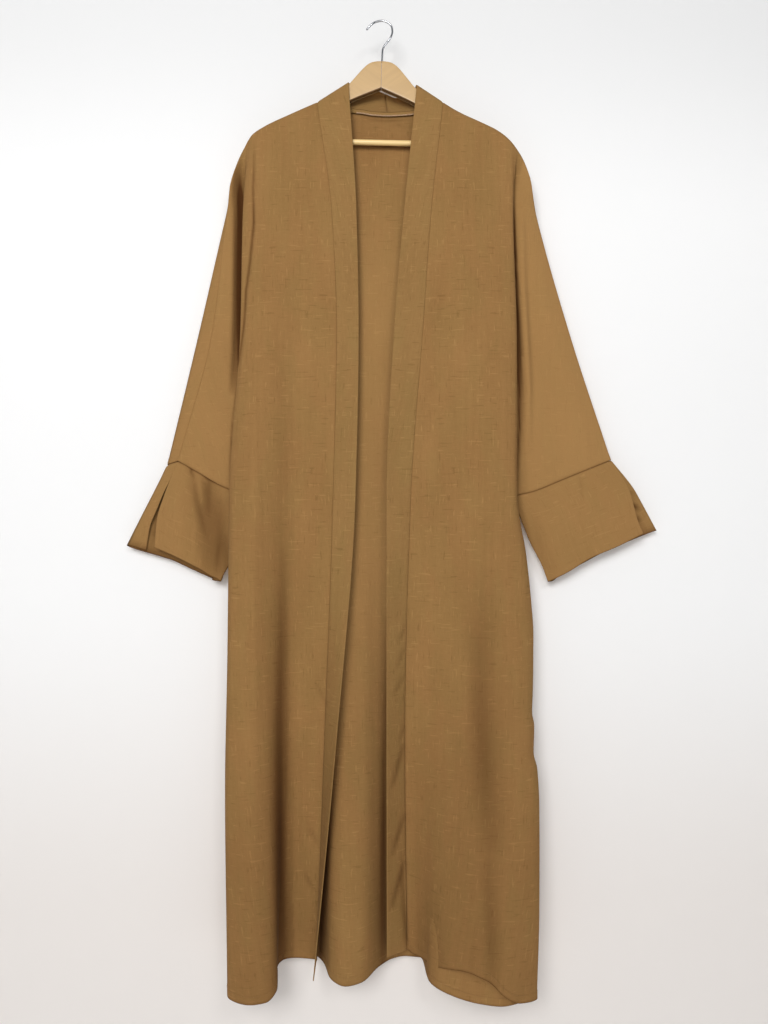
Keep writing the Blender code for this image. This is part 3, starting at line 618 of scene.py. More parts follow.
def seam_dip(distance):
    return -SEAM_DIP * bell(distance, SEAM_SOFT)


def cuff_dip(distance):
    return -CUFF_DIP * bell(distance, CUFF_SOFT)


def pucker_push(distance, grid, seed):
    """Small waves along a sewn seam, fading away from it."""
    z = face_place(grid)[1]
    wave = soft_noise(z, z * 0, PUCKER_PITCH, 1, seed + PUCKER_SEED)
    return PUCKER * wave * np.exp(-distance / PUCKER_REACH)


def corner_hold(*pairs):
    """0 where two seams meet and 1 away from there, so that a corner keeps its place."""
    hold = 1.0
    for a, b in pairs:
        hold = hold * smooth(np.hypot(a, np.minimum(b, CORNER_REACH)) / CORNER_REACH)
    return hold


# Painted shade in the cloth's crevices, on the flanks of its folds and at the bottom of its creases
CREVICE_COLUMNS = 26
CREVICE_REACH = 15.0
CREVICE_DEEP = 11.0
FLANK_REACH = 20.0
FLANK_DEEP = 40.0
FLANK_SHARE = 0.22
VALLEY_DEEP = 13.0
BAND_VALLEY_DEEP = 9.0
# The gap beside each sleeve closes between these depths, each with the length of its fade, and its
# painted shade lessens there by the share
GAP_CLOSES = ((540, 80), (800, 30))
GAP_SHARE = 0.75


def rises(grid, reach):
    """How far the cloth within reach on each side stands out past each point."""
    sides = []
    for way in (1, -1):
        across, outward = grid[:, ::way, 0], grid[:, ::way, 1]
        highest = outward.copy()
        for step in range(1, CREVICE_COLUMNS):
            here, beside = highest[:, step:], outward[:, :-step]
            near = abs(across[:, :-step] - across[:, step:]) < reach
            here[:] = np.where(near & (beside > here), beside, here)
        sides.append(np.nan_to_num(highest - outward)[:, ::way])
    return sides


def painted_valley_shade(creases, grid, depth):
    """How much shade is painted at the bottom of a crease of that depth, from 0 to 1."""
    return np.clip(-crease_push(creases, grid) / depth, 0, 1)


def painted_fold_shade(grid, creases, shades):
    """How much shade is painted where nearby folds stand out further. 1 is full painted shade."""
    deep = smooth(np.minimum(*rises(grid, CREVICE_REACH)) / CREVICE_DEEP)
    flank = sum(smooth(rise / FLANK_DEEP) for rise in rises(grid, FLANK_REACH))
    (top, fade), (end, end_fade) = GAP_CLOSES
    z = face_place(grid)[1]
    deep *= 1 - GAP_SHARE * smooth((-z - top) / fade) * smooth((z + end) / end_fade)
    return (deep + flank * FLANK_SHARE + painted_valley_shade(creases, grid, VALLEY_DEEP)
            + crease_push(shades, grid))


def pushed(grid, outward, normals, rise):
    """The grid moved out from the wall, then along its normals."""
    moved = grid.copy()
    moved[..., 1] += outward
    return moved + normals * rise[..., None]


def held_still(down, *edges):
    """0 at the top and at the given edges, and 1 away from them."""
    hold = smooth(down / TOP_HOLD)
    for edge in edges:
        hold = hold * smooth(edge / HOLD_REACH)
    return hold


def dress_front(grid, side_columns, toward, seed):
    """A front panel's creases, ripples and seams. toward is 1 where its normals face the room."""
    normals = panel_normals(grid, side_columns) * toward
    start, end, down, cuff, hem = distances(grid, side_columns)
    hold = held_still(down, end, cuff)
    push = front_push(grid, seed) * hold * np.clip(normals[..., 1], 0, 1)
    sewn = (seam_dip(start) + seam_dip(end) + seam_dip(down) + cuff_dip(cuff)
            + pucker_push(start, grid, seed) * smooth(down / TOP_HOLD))
    sewn = sewn * corner_hold((end, down), (end, cuff))
    return pushed(grid, push, normals, sewn), hold[:, 0], hem


def dress_back(grid, side_columns, seed):
    """The back panel's creases, ripples and seams."""
    normals = -panel_normals(grid, side_columns)
    start, end, down, cuff, hem = distances(grid, side_columns)
    push = (crease_push(BACK_CREASES, grid) * smooth(down / NECK_HOLD)
            + ripple_push(grid, seed) * held_still(down, start, end, cuff))
    sewn = sum(seam_dip(distance) for distance in (start, end, down, cuff))
    sewn = sewn * corner_hold((start, down), (end, down), (start, cuff), (end, cuff))
    return pushed(grid, push * abs(normals[..., 1]), normals, sewn), hem


def band_grid(side, front, back, back_at, hold, seed):
    """A front band: from the hem up the panel's edge, over the shoulder and to the centre back."""
    across, outward, top, end = BAND_EDGE[side]
    free = line_points(Line("free", across, outward, end), top)[::-1]
    first = column_of(BACK, back_at, "neck_" + side)
    centre = column_of(BACK, back_at, "centre")
    step = 1 if centre > first else -1
    columns = list(range(first + step, centre + step, step))
    keys = np.array(NECK_EDGE[side], float)
    neck_free = ease_points(np.arange(len(keys)), keys, abs(back_at[columns] - back_at[first]))
    free[-1] = keys[0]
    neck_seam = back[0, columns].copy()
    neck_seam[:, 2] += NECK_LIFT
    seam = np.vstack([front[::-1, 0], neck_seam])
    free = np.vstack([free, neck_free])
    share = np.array(BAND_SHARES)[None, :, None]
    near = seam + unit(free - seam) * SEAM_INSET * 2
    grid = near[:, None] * (1 - share) + free[:, None] * share
    normals = block_normals(grid) * SIDES[side]
    held = np.append(hold[::-1], np.zeros(len(columns)))[:, None]
    distance = np.linalg.norm(free - seam, axis=1)[:, None] * share[..., 0]
    sewn = seam_dip(distance) + pucker_push(distance, grid, seed) * held
    push = front_push(grid, seed) * held * np.clip(normals[..., 1], 0, 1)
    dressed = pushed(grid, push, normals, sewn)
    if side == "right":
        dressed[-1, :, 0] += step * BAND_LAP
        dressed[-1, :, 1] -= BAND_LAP
    return dressed


def cuff_grid(side, front, front_at, back, back_at):
    """A cuff round the sleeve's end, open along its slit below the overarm seam."""
    table = CUFFS[side]
    from_arm = len(FRONT_LINES[side]) - 1 - front_at
    back_arm = back_at if side == "right" else len(BACK) - 1 - back_at
    station, seam = [], []
    halves = ((front, from_arm, 0, 1), (back, back_arm, len(table) - 1, -1))
    for panel, away, begin, sign in halves:
        for column in np.argsort(sign * away):
            if away[column] <= SLEEVE_LINES + FOLD_SHARE:
                beyond = max(0.0, away[column] - SLEEVE_LINES) / FOLD_SHARE
                station.append(begin + sign * min(away[column], SLEEVE_LINES) + sign * beyond)
                seam.append(panel[LOW_ROW, column])
    station, seam = np.array(station), np.array(seam)
    shifts = []
    for number, (middle, edge) in enumerate(table.values()):
        top = seam[np.argmin(abs(station - number))]
        knots, points = zip((0, top), *middle, (1, edge))
        shifts.append(ease_points(knots, points, CUFF_ROWS) - top)
    grid = np.array([seam + ease_points(range(len(table)), shift, station)
                     for shift in np.array(shifts).swapaxes(0, 1)])
    grid[0] += unit(grid[1] - grid[0]) * SEAM_INSET * 2
    return grid, station


def dress_cuff(side, grid, station):
    """A cuff's creases, ripples and seam, and its inner fold moved outward toward the edge."""
    toward = SIDES[side]
    normals = block_normals(grid) * -toward
    down = travelled(grid)
    front = crease_push(CUFF_CREASES[side], grid) * np.clip(normals[..., 1], 0, 1)
    ripples = ripple_push(grid, SEEDS[side]) * CUFF_RIPPLES
    tucked = grid.copy()
    tucked[..., 0] += (toward * CUFF_TUCK[side] * bell(station - INNER_FOLD, CUFF_TUCK_SPREAD)
                       * smooth((down - CUFF_TUCK_FROM) / CUFF_TUCK_FADE))
    return pushed(tucked, front * smooth(down / CUFF_HOLD), normals,
                  ripples * smooth(down / HOLD_REACH) + cuff_dip(down))


@lru_cache(maxsize=1)
def cloth():
    """Every cloth piece's dressed grid, with what its neighbours and its hem need."""
    grids, at, sides = {}, {}, {}
    for name, (lines, pitch, seams, ends) in PANELS.items():
        grids[name], at[name] = panel_grid(lines, pitch, seams)
        sides[name] = [column_of(lines, at[name], end) for end in ends]
        swell_sides(grids[name], sides[name])
    pieces = {"stations": at, "sides": sides}
    back = grids["back"]
    pieces["back"], pieces["back", "hem"] = dress_back(back, sides["back"], SEEDS["back"])
    for side, toward in SIDES.items():
        front, seed = grids[side], SEEDS["front"]
        dressed, hold, hem = dress_front(front, sides[side], toward, seed)
        pieces["front", side], pieces["front", side, "hem"] = dressed, hem
        pieces["band", side] = band_grid(side, front, back, at["back"], hold, seed)
        ring, station = cuff_grid(side, front, at[side], back, at["back"])
        pieces["cuff", side] = dress_cuff(side, ring, station)
        pieces["cuff", side, "stations"] = station
        dressed[0, :, 1] += SEAM_INSET
    pieces["back"][0, :, 1] -= SEAM_INSET
    return pieces


def place(points):
    """From x, out, z in millimetres to the part's own frame in metres."""
    x, out, z = points[..., 0], points[..., 1], points[..., 2]
    return np.stack([x, HANGER_OUT - out, z], axis=-1) * MM


def cloth_map(grid, start_column, plumb):
    """Metres across and up the cloth at each grid point. Plumb keeps the threads straight down."""
    across = travelled(grid, 1)
    across -= across[:, start_column:start_column + 1].copy()
    if plumb:
        return (across + abs(grid[:, start_column:start_column + 1, 0])) * MM, grid[..., 2] * MM
    rising = np.sign(grid[-1, start_column, 2] - grid[0, start_column, 2])
    return across * MM, travelled(grid) * rising * MM


def put(name, data):
    """A new object, linked into the scene."""
    thing = bpy.data.objects.new(name, data)
    bpy.context.scene.collection.objects.link(thing)
    return thing


def put_mesh(name, points, faces, material):
    """A new mesh object of one material."""
    mesh = bpy.data.meshes.new(name)
    mesh.from_pydata(points, [], faces)
    mesh.materials.append(material)
    mesh.shade_smooth()
    return put(name, mesh)


WEIGHT_DIGITS = 3


def add_sheet(name, grid, thick, weights, start_column, material, deep=0.0, pale=0.0,
              plumb=True):
    """A cloth piece: an open grid of faces with Solidify giving it its wall."""
    there = ~np.isnan(grid[..., 0])
    index = np.full(there.shape, -1)
    index[there] = np.arange(there.sum())
    corners = np.stack([index[:-1, :-1], index[1:, :-1], index[1:, 1:], index[:-1, 1:]], axis=-1)
    corners = corners.reshape(-1, 4)
    faces = corners[(corners >= 0).all(axis=1)]
    piece = put_mesh(name, place(grid)[there].tolist(), faces.tolist(), material)
    mesh = piece.data
    across, up = cloth_map(grid, start_column, plumb)
    flat = np.stack([across[there], up[there]], axis=-1)
    mesh.uv_layers.new(name="cloth").data.foreach_set("uv", flat[faces.ravel()].ravel())
    # Attributes that the linen reads: the painted shade (deep) and the painted light (pale)
    for attribute, values in (("painted_shade", np.clip(deep, 0, 1)), ("pale", pale)):
        held = np.broadcast_to(values, there.shape)[there].astype(np.float32)
        mesh.attributes.new(attribute, "FLOAT", "POINT").data.foreach_set("value", held)
    group = piece.vertex_groups.new(name="wall")
    shares = np.round(np.broadcast_to(weights, there.shape)[there], WEIGHT_DIGITS)
    for share in np.unique(shares):
        group.add(np.flatnonzero(shares == share).tolist(), float(share), "REPLACE")
    wall = piece.modifiers.new("wall", "SOLIDIFY")
    wall.thickness = thick
    wall.offset = 0.0
    wall.vertex_group = group.name
    return piece


def hand_over(piece, slot, *nodes):
    """Ties a finished piece to the part: its body and the nodes it shows. The slot is not used."""
    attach(piece, "root")
    if nodes:
        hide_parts(*nodes)


class Socket:
    """One output of a node. Sums written on it become Math nodes."""

    def __init__(self, graph, link):
        self.graph, self.link = graph, link

    def math(self, operation, *values):
        return self.graph.add("ShaderNodeMath", {"operation": operation}, dict(enumerate(values)))

    def __add__(self, other):
        return self.math("ADD", self, other)

    __radd__ = __add__

    def __sub__(self, other):
        return self.math("SUBTRACT", self, other)

    def __rsub__(self, other):
        return self.math("SUBTRACT", other, self)

    def __mul__(self, other):
        return self.math("MULTIPLY", self, other)

    def between(self, low, high):
        """0 below low, 1 above high and smooth between them, or the other way round."""
        return self.graph.add("ShaderNodeMapRange", {"interpolation_type": "SMOOTHSTEP"},
                              {"Value": self, "From Min": low, "From Max": high})


# Sockets that share their name with others of their node, by number: the Mix node's share, two
# colours and result, and the Random Value node's smallest and largest number and result
MIX_COLOURS, MIX_RESULT = (0, 6, 7), 2
RANDOM_RANGE, RANDOM_RESULT = (2, 3), 1
SEED_SPREAD = (1.0, 0.7, 0.3)
# Noise runs from 0 to 1 about this value
NOISE_MIDDLE = 0.5


class Graph:
    """A node tree that is written as expressions."""

    def __init__(self, tree):
        self.tree = tree

    def add(self, kind, settings=None, sockets=None, output=0):
        """Any node: its settings first, then the values or links of its sockets."""
        node = self.tree.nodes.new(kind)
        for name, value in (settings or {}).items():
            setattr(node, name, value)
        for name, value in (sockets or {}).items():
            if isinstance(value, Socket):
                self.tree.links.new(value.link, node.inputs[name])
            else:
                node.inputs[name].default_value = value
        return Socket(self, node.outputs[output]) if node.outputs else None

    def mix(self, share, first, second):
        """One colour over another, by a share from 0 to 1."""
        return self.add("ShaderNodeMix", {"data_type": "RGBA"},
                        dict(zip(MIX_COLOURS, (share, first, second))), MIX_RESULT)

    def attribute(self, name):
        return self.add("ShaderNodeAttribute", {"attribute_name": name}, output="Fac")

    def object_place(self):
        return self.add("ShaderNodeTexCoord", output="Object")

    def streaks(self, vector, size, seed, detail=1.0):
        """Noise stretched to a size in metres along each axis."""
        moved = self.add("ShaderNodeMapping", None,
                         {"Vector": vector, "Location": tuple(seed * share for share in SEED_SPREAD),
                          "Scale": tuple(1 / axis for axis in size)})
        return self.add("ShaderNodeTexNoise", {"noise_dimensions": "3D"},
                        {"Vector": moved, "Scale": 1.0, "Detail": detail, "Roughness": 0.5})

    def bump(self, height, strength, distance):
        return self.add("ShaderNodeBump", None,
                        {"Strength": strength, "Distance": distance, "Height": height})

    def principled(self, sockets):
        return self.add("ShaderNodeBsdfPrincipled", None, sockets)


def new_material(name):
    material = bpy.data.materials.new(name)
    material.use_nodes = True
    material.node_tree.nodes.clear()
    return material, Graph(material.node_tree)


def finish_material(material, shader):
    shader.graph.add("ShaderNodeOutputMaterial", None, {"Surface": shader})
    return material


def tint(colour, share):
    """A colour made lighter or darker by one share, or by one share for each channel."""
    return (*np.minimum(np.multiply(colour, share), 1.0).tolist(), 1.0)


# The linen's noise: its size across and up the cloth, its seed and its detail
LINEN_NOISE = {
    "weft": ((0.021, 0.0026, 1), 0, 0.0), "warp": ((0.0026, 0.023, 1), 5, 0.0),
    "weft_thread": ((0.011, 0.0012, 1), 11, 1.0), "warp_thread": ((0.0012, 0.011, 1), 17, 1.0),
    "long_warp": ((0.006, 0.16, 1), 19, 1.0), "patch": ((0.05, 0.12, 1), 23, 2.0),
    "warm": ((0.03, 0.08, 1), 31, 2.0), "knot": ((0.0026, 0.0022, 1), 37, 0.0),
}
# Where the noise makes a thick thread each way, and how pale that is
SLUBS = {"weft": ((0.735, 0.785), 0.38), "warp": ((0.745, 0.79), 0.36)}
THIN_THREAD = (0.25, 0.21)
THIN_SHARE = 0.8
THREAD_TONE = 0.28
LONG_WARP_TONE = 0.24
KNOTS = (0.80, 0.88)
KNOT_TONE = 0.45
# The linen's colours as shares of its own colour
DARK_THREAD, LIGHT_THREAD = 0.62, (1.36, 1.42, 1.6)
OLIVE, RUSTY = (0.97, 1.02, 0.97), (1.04, 0.98, 0.98)
# The painted light's tint, and the painted shade's colour
PAINTED_LIGHT_TINT, SHADOW = (1.42, 1.48, 1.62), (0.26, 0.17, 0.12)
WARM_PATCHES = (0.36, 0.64)
PATCH_MIX = 0.4
# How much of the painted light and of the painted shade can show
PAINTED_LIGHT_MIX = 0.34
SHADOW_MIX = 0.94
# How far a normal points to the wall: above the first there is no painted shade, below the
# second all of it
TOWARD_WALL = (0.6, 0.2)
THREAD_HEIGHT = 0.6
SLUB_HEIGHT = 0.5
LINEN_BUMP = (0.5, 0.0005)
LINEN_ROUGH = 0.92
THREAD_ROUGH = 0.1
LINEN_LOOK = {"Sheen Weight": 0.04, "Sheen Roughness": 0.4, "Sheen Tint": (0.9, 0.66, 0.4, 1.0),
              "Specular IOR Level": 0.1}


def linen(name, colour, patchy, seed):
    """Slub plain weave: thick and thin threads both ways, with warm and olive patches."""
    material, graph = new_material(name)
    cloth_uv = graph.add("ShaderNodeUVMap", {"uv_map": "cloth"})
    made = {part: graph.streaks(cloth_uv, size, seed + shift, detail)
            for part, (size, shift, detail) in LINEN_NOISE.items()}
    slubs = sum((made[way].between(*thick) - made[way].between(*THIN_THREAD) * THIN_SHARE) * share
                for way, (thick, share) in SLUBS.items())
    both_threads = made["weft_thread"] + made["warp_thread"]
    threads = (both_threads - 2 * NOISE_MIDDLE) * THREAD_TONE
    tone = (slubs + threads + (made["long_warp"] - NOISE_MIDDLE) * LONG_WARP_TONE
            + (made["patch"] - NOISE_MIDDLE) * patchy
            + made["knot"].between(*KNOTS) * KNOT_TONE + NOISE_MIDDLE)
    shade = graph.add("ShaderNodeValToRGB", None, {0: tone})
    ends = shade.link.node.color_ramp.elements
    ends[0].color, ends[1].color = tint(colour, DARK_THREAD), tint(colour, LIGHT_THREAD)
    hue = graph.mix(made["warm"].between(*WARM_PATCHES), tint(colour, OLIVE), tint(colour, RUSTY))
    # Painted light: the cloth turns lighter where the piece's pale attribute says
    cloth_with_painted_light = graph.mix(graph.attribute("pale") * PAINTED_LIGHT_MIX, graph.mix(PATCH_MIX, shade, hue),
                     tint(colour, PAINTED_LIGHT_TINT))
    # The shade is painted for the side that faces the room
    normal = graph.add("ShaderNodeTexCoord", output="Normal")
    toward_wall = graph.add("ShaderNodeSeparateXYZ", None, {"Vector": normal}, output="Y")
    painted_shade_share = graph.attribute("painted_shade") * toward_wall.between(*TOWARD_WALL) * SHADOW_MIX
    height = both_threads * THREAD_HEIGHT + (made["weft"] + made["warp"]) * SLUB_HEIGHT
    return finish_material(material, graph.principled(
        {"Base Color": graph.mix(painted_shade_share, cloth_with_painted_light, tint(colour, SHADOW)),
         "Roughness": LINEN_ROUGH - threads * THREAD_ROUGH, **LINEN_LOOK,
         "Normal": graph.bump(height, *LINEN_BUMP)}))


THREAD_NOISE = ((0.0006, 0.0006, 0.0006), 3.0)
THREAD_TINTS = (0.8, 1.15)
THREAD_LOOK = {"Roughness": 0.7, "Specular IOR Level": 0.3}


def thread(name, colour):
    """Spun sewing thread, with a slight twist along its length."""
    material, graph = new_material(name)
    twist = graph.streaks(graph.object_place(), *THREAD_NOISE)
    shade = graph.mix(twist, *(tint(colour, share) for share in THREAD_TINTS))
    return finish_material(material, graph.principled({"Base Color": shade, **THREAD_LOOK}))


# Each wood's grain and growth rings, as the size of their noise, and its roughness
WOODS = {"maple": ((0.05, 0.004, 0.003), (0.12, 0.02, 0.008), 0.42),
         "bar_wood": ((0.04, 0.002, 0.002), (0.1, 0.006, 0.006), 0.4)}
# The turn of each arm's grain, in degrees
ARM_GRAIN = 35
# Fibres, pores and rings
GRAIN_SEEDS, GRAIN_DETAIL = (2.0, 7.0, 9.0), (3.0, 1.0, 1.0)
PORE_SHARES = (0.2, 0.3, 0.3)
FIBRE_TONE, RING_TONE = 0.4, 0.6
WOOD_TONES, WOOD_TINTS = (0.25, 0.75), (0.95, 1.05)
PORES, PORE_MIX, PORE_TINT = (0.62, 0.78), 0.12, 0.7
# Painted shadow on the arms' undersides: its colour and share
WOOD_SHADOW, WOOD_SHADOW_MIX = (0.2, 0.14, 0.1), 0.85
WOOD_BUMP = (0.2, 0.0002)
FIBRE_ROUGH = 0.15
WOOD_LOOK = {"Coat Weight": 0.25, "Coat Roughness": 0.25}


def wood(name, kind, colour, turn=0):
    """Lacquered wood with its grain along one direction, turned in degrees about Y."""
    material, graph = new_material(name)
    grain, rings, rough = WOODS[kind]
    turned = graph.add("ShaderNodeMapping", None, {"Vector": graph.object_place(),
                                                   "Rotation": (0, math.radians(turn), 0)})
    sizes = (grain, tuple(np.multiply(grain, PORE_SHARES).tolist()), rings)
    fibre, pore, ring = (graph.streaks(turned, size, seed, detail)
                         for size, seed, detail in zip(sizes, GRAIN_SEEDS, GRAIN_DETAIL))
    tone = fibre * FIBRE_TONE + ring * RING_TONE
    pale = graph.mix(tone.between(*WOOD_TONES), *(tint(colour, share) for share in WOOD_TINTS))
    shade = graph.mix(pore.between(*PORES) * PORE_MIX, pale, tint(colour, PORE_TINT))
    # Painted shade where the piece's attribute says, on the arms' undersides
    shade = graph.mix(graph.attribute("painted_shade") * WOOD_SHADOW_MIX, shade,
                      tint(colour, WOOD_SHADOW))
    return finish_material(material, graph.principled(
        {"Base Color": shade, "Roughness": (fibre - NOISE_MIDDLE) * FIBRE_ROUGH + rough,
         **WOOD_LOOK, "Normal": graph.bump(fibre, *WOOD_BUMP)}))


SMUDGE_NOISE = ((0.006, 0.006, 0.006), 4.0, 2.0)
SMUDGES, SMUDGE_ROUGH, POLISH_ROUGH = (0.4, 0.7), 0.14, 0.08


def chrome(name, colour):
    """Polished wire with faint smudges."""
    material, graph = new_material(name)
    smudge = graph.streaks(graph.object_place(), *SMUDGE_NOISE).between(*SMUDGES)
    return finish_material(material, graph.principled(
        {"Base Color": (*colour, 1.0), "Metallic": 1.0,
         "Roughness": smudge * SMUDGE_ROUGH + POLISH_ROUGH}))


STITCH_INPUTS = {"Line": "Geometry", "Stitch Length": "Float", "Stitch Gap": "Float",
                 "Thread Radius": "Float", "Lean": "Float", "Unevenness": "Float",
                 "Thread": "Material", "Seed": "Int"}
BEAD = {"Segments": 6, "Rings": 4, "Radius": 1.0}


def sewing_tree():
    """Geometry Nodes that lay short stitches along a line of points."""
    tree = bpy.data.node_groups.new("sewn_stitches", "GeometryNodeTree")
    for name, kind in STITCH_INPUTS.items():
        tree.interface.new_socket(name=name, in_out="INPUT", socket_type="NodeSocket" + kind)
    tree.interface.new_socket(name="Stitches", in_out="OUTPUT", socket_type="NodeSocketGeometry")
    graph = Graph(tree)
    entry = tree.nodes.new("NodeGroupInput")
    given = {socket.name: Socket(graph, socket) for socket in entry.outputs if socket.name}
    line = graph.add("GeometryNodeMeshToCurve", None, {"Mesh": given["Line"]})
    spaced = graph.add("GeometryNodeResampleCurve", {"mode": "LENGTH"},
                       {"Curve": line, "Length": given["Stitch Length"] + given["Stitch Gap"]})
    tangent = graph.add("GeometryNodeInputTangent")
    turned = graph.add("FunctionNodeAlignRotationToVector", {"axis": "X"}, {"Vector": tangent})
    least, most = RANDOM_RANGE
    sway = graph.add("FunctionNodeRandomValue", {"data_type": "FLOAT"},
                     {least: given["Unevenness"] * -1.0, most: given["Unevenness"],
                      "Seed": given["Seed"]}, RANDOM_RESULT)
    lean = graph.add("ShaderNodeCombineXYZ", None, {"Y": given["Lean"] + sway})
    leaning = graph.add("FunctionNodeEulerToRotation", None, {"Euler": lean})
    tilted = graph.add("FunctionNodeRotateRotation", {"rotation_space": "LOCAL"},
                       {"Rotation": turned, "Rotate By": leaning})
    size = graph.add("ShaderNodeCombineXYZ", None,
                     {"X": given["Stitch Length"] * 0.5, "Y": given["Thread Radius"],
                      "Z": given["Thread Radius"]})
    laid = graph.add("GeometryNodeInstanceOnPoints", None,
                     {"Points": spaced, "Rotation": tilted, "Scale": size,
                      "Instance": graph.add("GeometryNodeMeshUVSphere", None, BEAD)})
    real = graph.add("GeometryNodeRealizeInstances", None, {"Geometry": laid})
    round_off = graph.add("GeometryNodeSetShadeSmooth", None, {"Geometry": real})
    dressed = graph.add("GeometryNodeSetMaterial", None,
                        {"Geometry": round_off, "Material": given["Thread"]})
    graph.add("NodeGroupOutput", None, {"Stitches": dressed})
    return tree


def sew(name, runs, material, stitch, gap, radius, lean=0.0, uneven=0.04, seed=1):
    """A piece of stitches along each run of points, baked to a plain mesh."""
    tree = bpy.data.node_groups.get("sewn_stitches") or sewing_tree()
    points = [tuple(point) for run in runs for point in place(run)]
    edges, start = [], 0
    for run in runs:
        edges += [(start + i, start + i + 1) for i in range(len(run) - 1)]
        start += len(run)
    mesh = bpy.data.meshes.new(name + "_line")
    mesh.from_pydata(points, edges, [])
    holder = put(name + "_line", mesh)
    sewn = holder.modifiers.new("stitches", "NODES")
    sewn.node_group = tree
    values = dict(zip(list(STITCH_INPUTS)[1:], (stitch, gap, radius, lean, uneven, material, seed)))
    for item in tree.interface.items_tree:
        if item.in_out == "INPUT" and item.name in values:
            sewn[item.identifier] = values[item.name]
    bpy.context.view_layer.update()
    depsgraph = bpy.context.evaluated_depsgraph_get()
    baked = bpy.data.meshes.new_from_object(holder.evaluated_get(depsgraph))
    baked.name = name
    bpy.data.objects.remove(holder)
    bpy.data.meshes.remove(mesh)
    return put(name, baked)


CRISP_ANGLE = math.radians(42)


def lofted(name, rings, material):
    """A closed tube through rings of points, with its ends filled and its corners crisp."""
    rings = tilted(rings)
    count, around = rings.shape[:2]
    index = np.arange(count * around).reshape(count, around)
    after = np.roll(index, -1, axis=1)
    faces = np.stack([index[:-1], after[:-1], after[1:], index[1:]], axis=-1)
    faces = [*faces.reshape(-1, 4).tolist(), index[0, ::-1].tolist(), index[-1].tolist()]
    piece = put_mesh(name, rings.reshape(-1, 3).tolist(), faces, material)
    piece.data.validate()
    work = bmesh.new()
    work.from_mesh(piece.data)
    bmesh.ops.recalc_face_normals(work, faces=work.faces)
    work.to_mesh(piece.data)
    work.free()
    piece.data.shade_smooth()
    piece.data.set_sharp_from_angle(angle=CRISP_ANGLE)
    return piece


def tilted(points):
    """Points of the level hanger, in millimetres as x, y, z, tilted and brought to metres."""
    points = np.asarray(points, float)
    cos, sin = math.cos(HANGER_TILT), math.sin(HANGER_TILT)
    x, y, z = points[..., 0], points[..., 1], points[..., 2]
    return np.stack([x * cos + z * sin, y, z * cos - x * sin], axis=-1) * MM


def round_angles(count):
    return np.linspace(0, 2 * math.pi, count, endpoint=False)


ARM_STATIONS = 72
ARM_CROWDING = 1.5
ARM_AROUND = 40
ARM_SQUARE = 11.0
ARM_NOSE = 9.0
# The underside starts at this share of the section's height, and slopes up toward the back
UNDER_FROM = 0.93
UNDER_SLOPE = 3.0
# The joint's narrowed end: its share of the section's depth and height, and how long it is
JOINT_DEEP, JOINT_TALL, JOINT_LONG = 0.95, 0.985, 0.25


def resample(table):
    """Points of a smooth line through a table, crowded toward its end."""
    length = travelled(np.array(table, float))
    share = 1 - (1 - np.linspace(0, 1, ARM_STATIONS)) ** ARM_CROWDING
    return ease_points(length, table, share * length[-1])


def hanger_arm(side, material):
    """Half of the wooden hanger: rounded sections from the centre joint out to the nose."""
    sign = SIDES[side]
    angle = round_angles(ARM_AROUND)
    high, deep = (np.sign(wave) * abs(wave) ** (2 / ARM_SQUARE)
                  for wave in (np.sin(angle), np.cos(angle)))
    rings = []
    for top, under in zip(resample(ARM_TOP), resample(ARM_UNDER)):
        tall = math.hypot(*(top - under))
        half = ARM_THICK / 2 * min(1.0, math.sqrt(tall / ARM_NOSE))
        x, z = ((a + b) / 2 + (a - b) / 2 * high for a, b in zip(top, under))
        z = z + UNDER_SLOPE * (deep + 1) / 2 * (high < -UNDER_FROM)
        rings.append(np.stack([sign * x, half * deep, z], axis=-1))
    joint = rings[0].copy()
    joint[:, 1] *= JOINT_DEEP
    joint[:, 2] = (joint[:, 2] - joint[:, 2].mean()) * JOINT_TALL + joint[:, 2].mean()
    rings[0][:, 0] += sign * JOINT_LONG
    arm = lofted("hanger_arm_" + side + "_wood", [joint, *rings], material)
    # Painted shade on the arm's underside, which the wood reads
    shade = np.tile(-high > UNDER_FROM, len(rings) + 1)
    held = arm.data.attributes.new("painted_shade", "FLOAT", "POINT")
    held.data.foreach_set("value", shade.astype(np.float32))
    return arm


BAR_AROUND = 32
BAR_TURNS = 5
BAR_ROUND = 0.4


def trouser_bar(material):
    """The round bar, with softly turned ends."""
    ends = [(BAR_END - BAR_RADIUS * BAR_ROUND * (1 - math.sin(turn)),
             BAR_RADIUS * (1 - BAR_ROUND * (1 - math.cos(turn))))
            for turn in np.linspace(math.pi / 2, 0, BAR_TURNS)]
    profile = [(-x, radius) for x, radius in ends] + ends[::-1]
    angle = round_angles(BAR_AROUND)
    rings = [np.stack([np.full(BAR_AROUND, x), radius * np.cos(angle),
                       BAR_Z + radius * np.sin(angle)], axis=-1) for x, radius in profile]
    return lofted("trouser_bar", rings, material)


HOOK_STATIONS = 110
HOOK_AROUND = 16
HOOK_NOSE = (0.15, 0.5, 0.85)


def hook(material):
    """The bent wire hook, with a rounded nose."""
    route = ease_points(range(len(HOOK_PATH)), HOOK_PATH,
                        np.linspace(0, len(HOOK_PATH) - 1, HOOK_STATIONS))
    heading = unit(np.gradient(route, axis=0))
    angle = round_angles(HOOK_AROUND)
    sine, cosine = HOOK_WIRE * np.sin(angle), HOOK_WIRE * np.cos(angle)
    rings = [np.stack([x - along_z * cosine, sine, z + along_x * cosine], axis=-1)
             for (x, z), (along_x, along_z) in zip(route, heading)]
    start = rings[0].mean(axis=0)
    ahead = HOOK_WIRE * np.array([heading[0][0], 0, heading[0][1]])
    nose = [start + (rings[0] - start) * math.sin(math.pi / 2 * turn)
            - ahead * math.cos(math.pi / 2 * turn) for turn in HOOK_NOSE]
    return lofted("hook_wire", nose + rings, material)


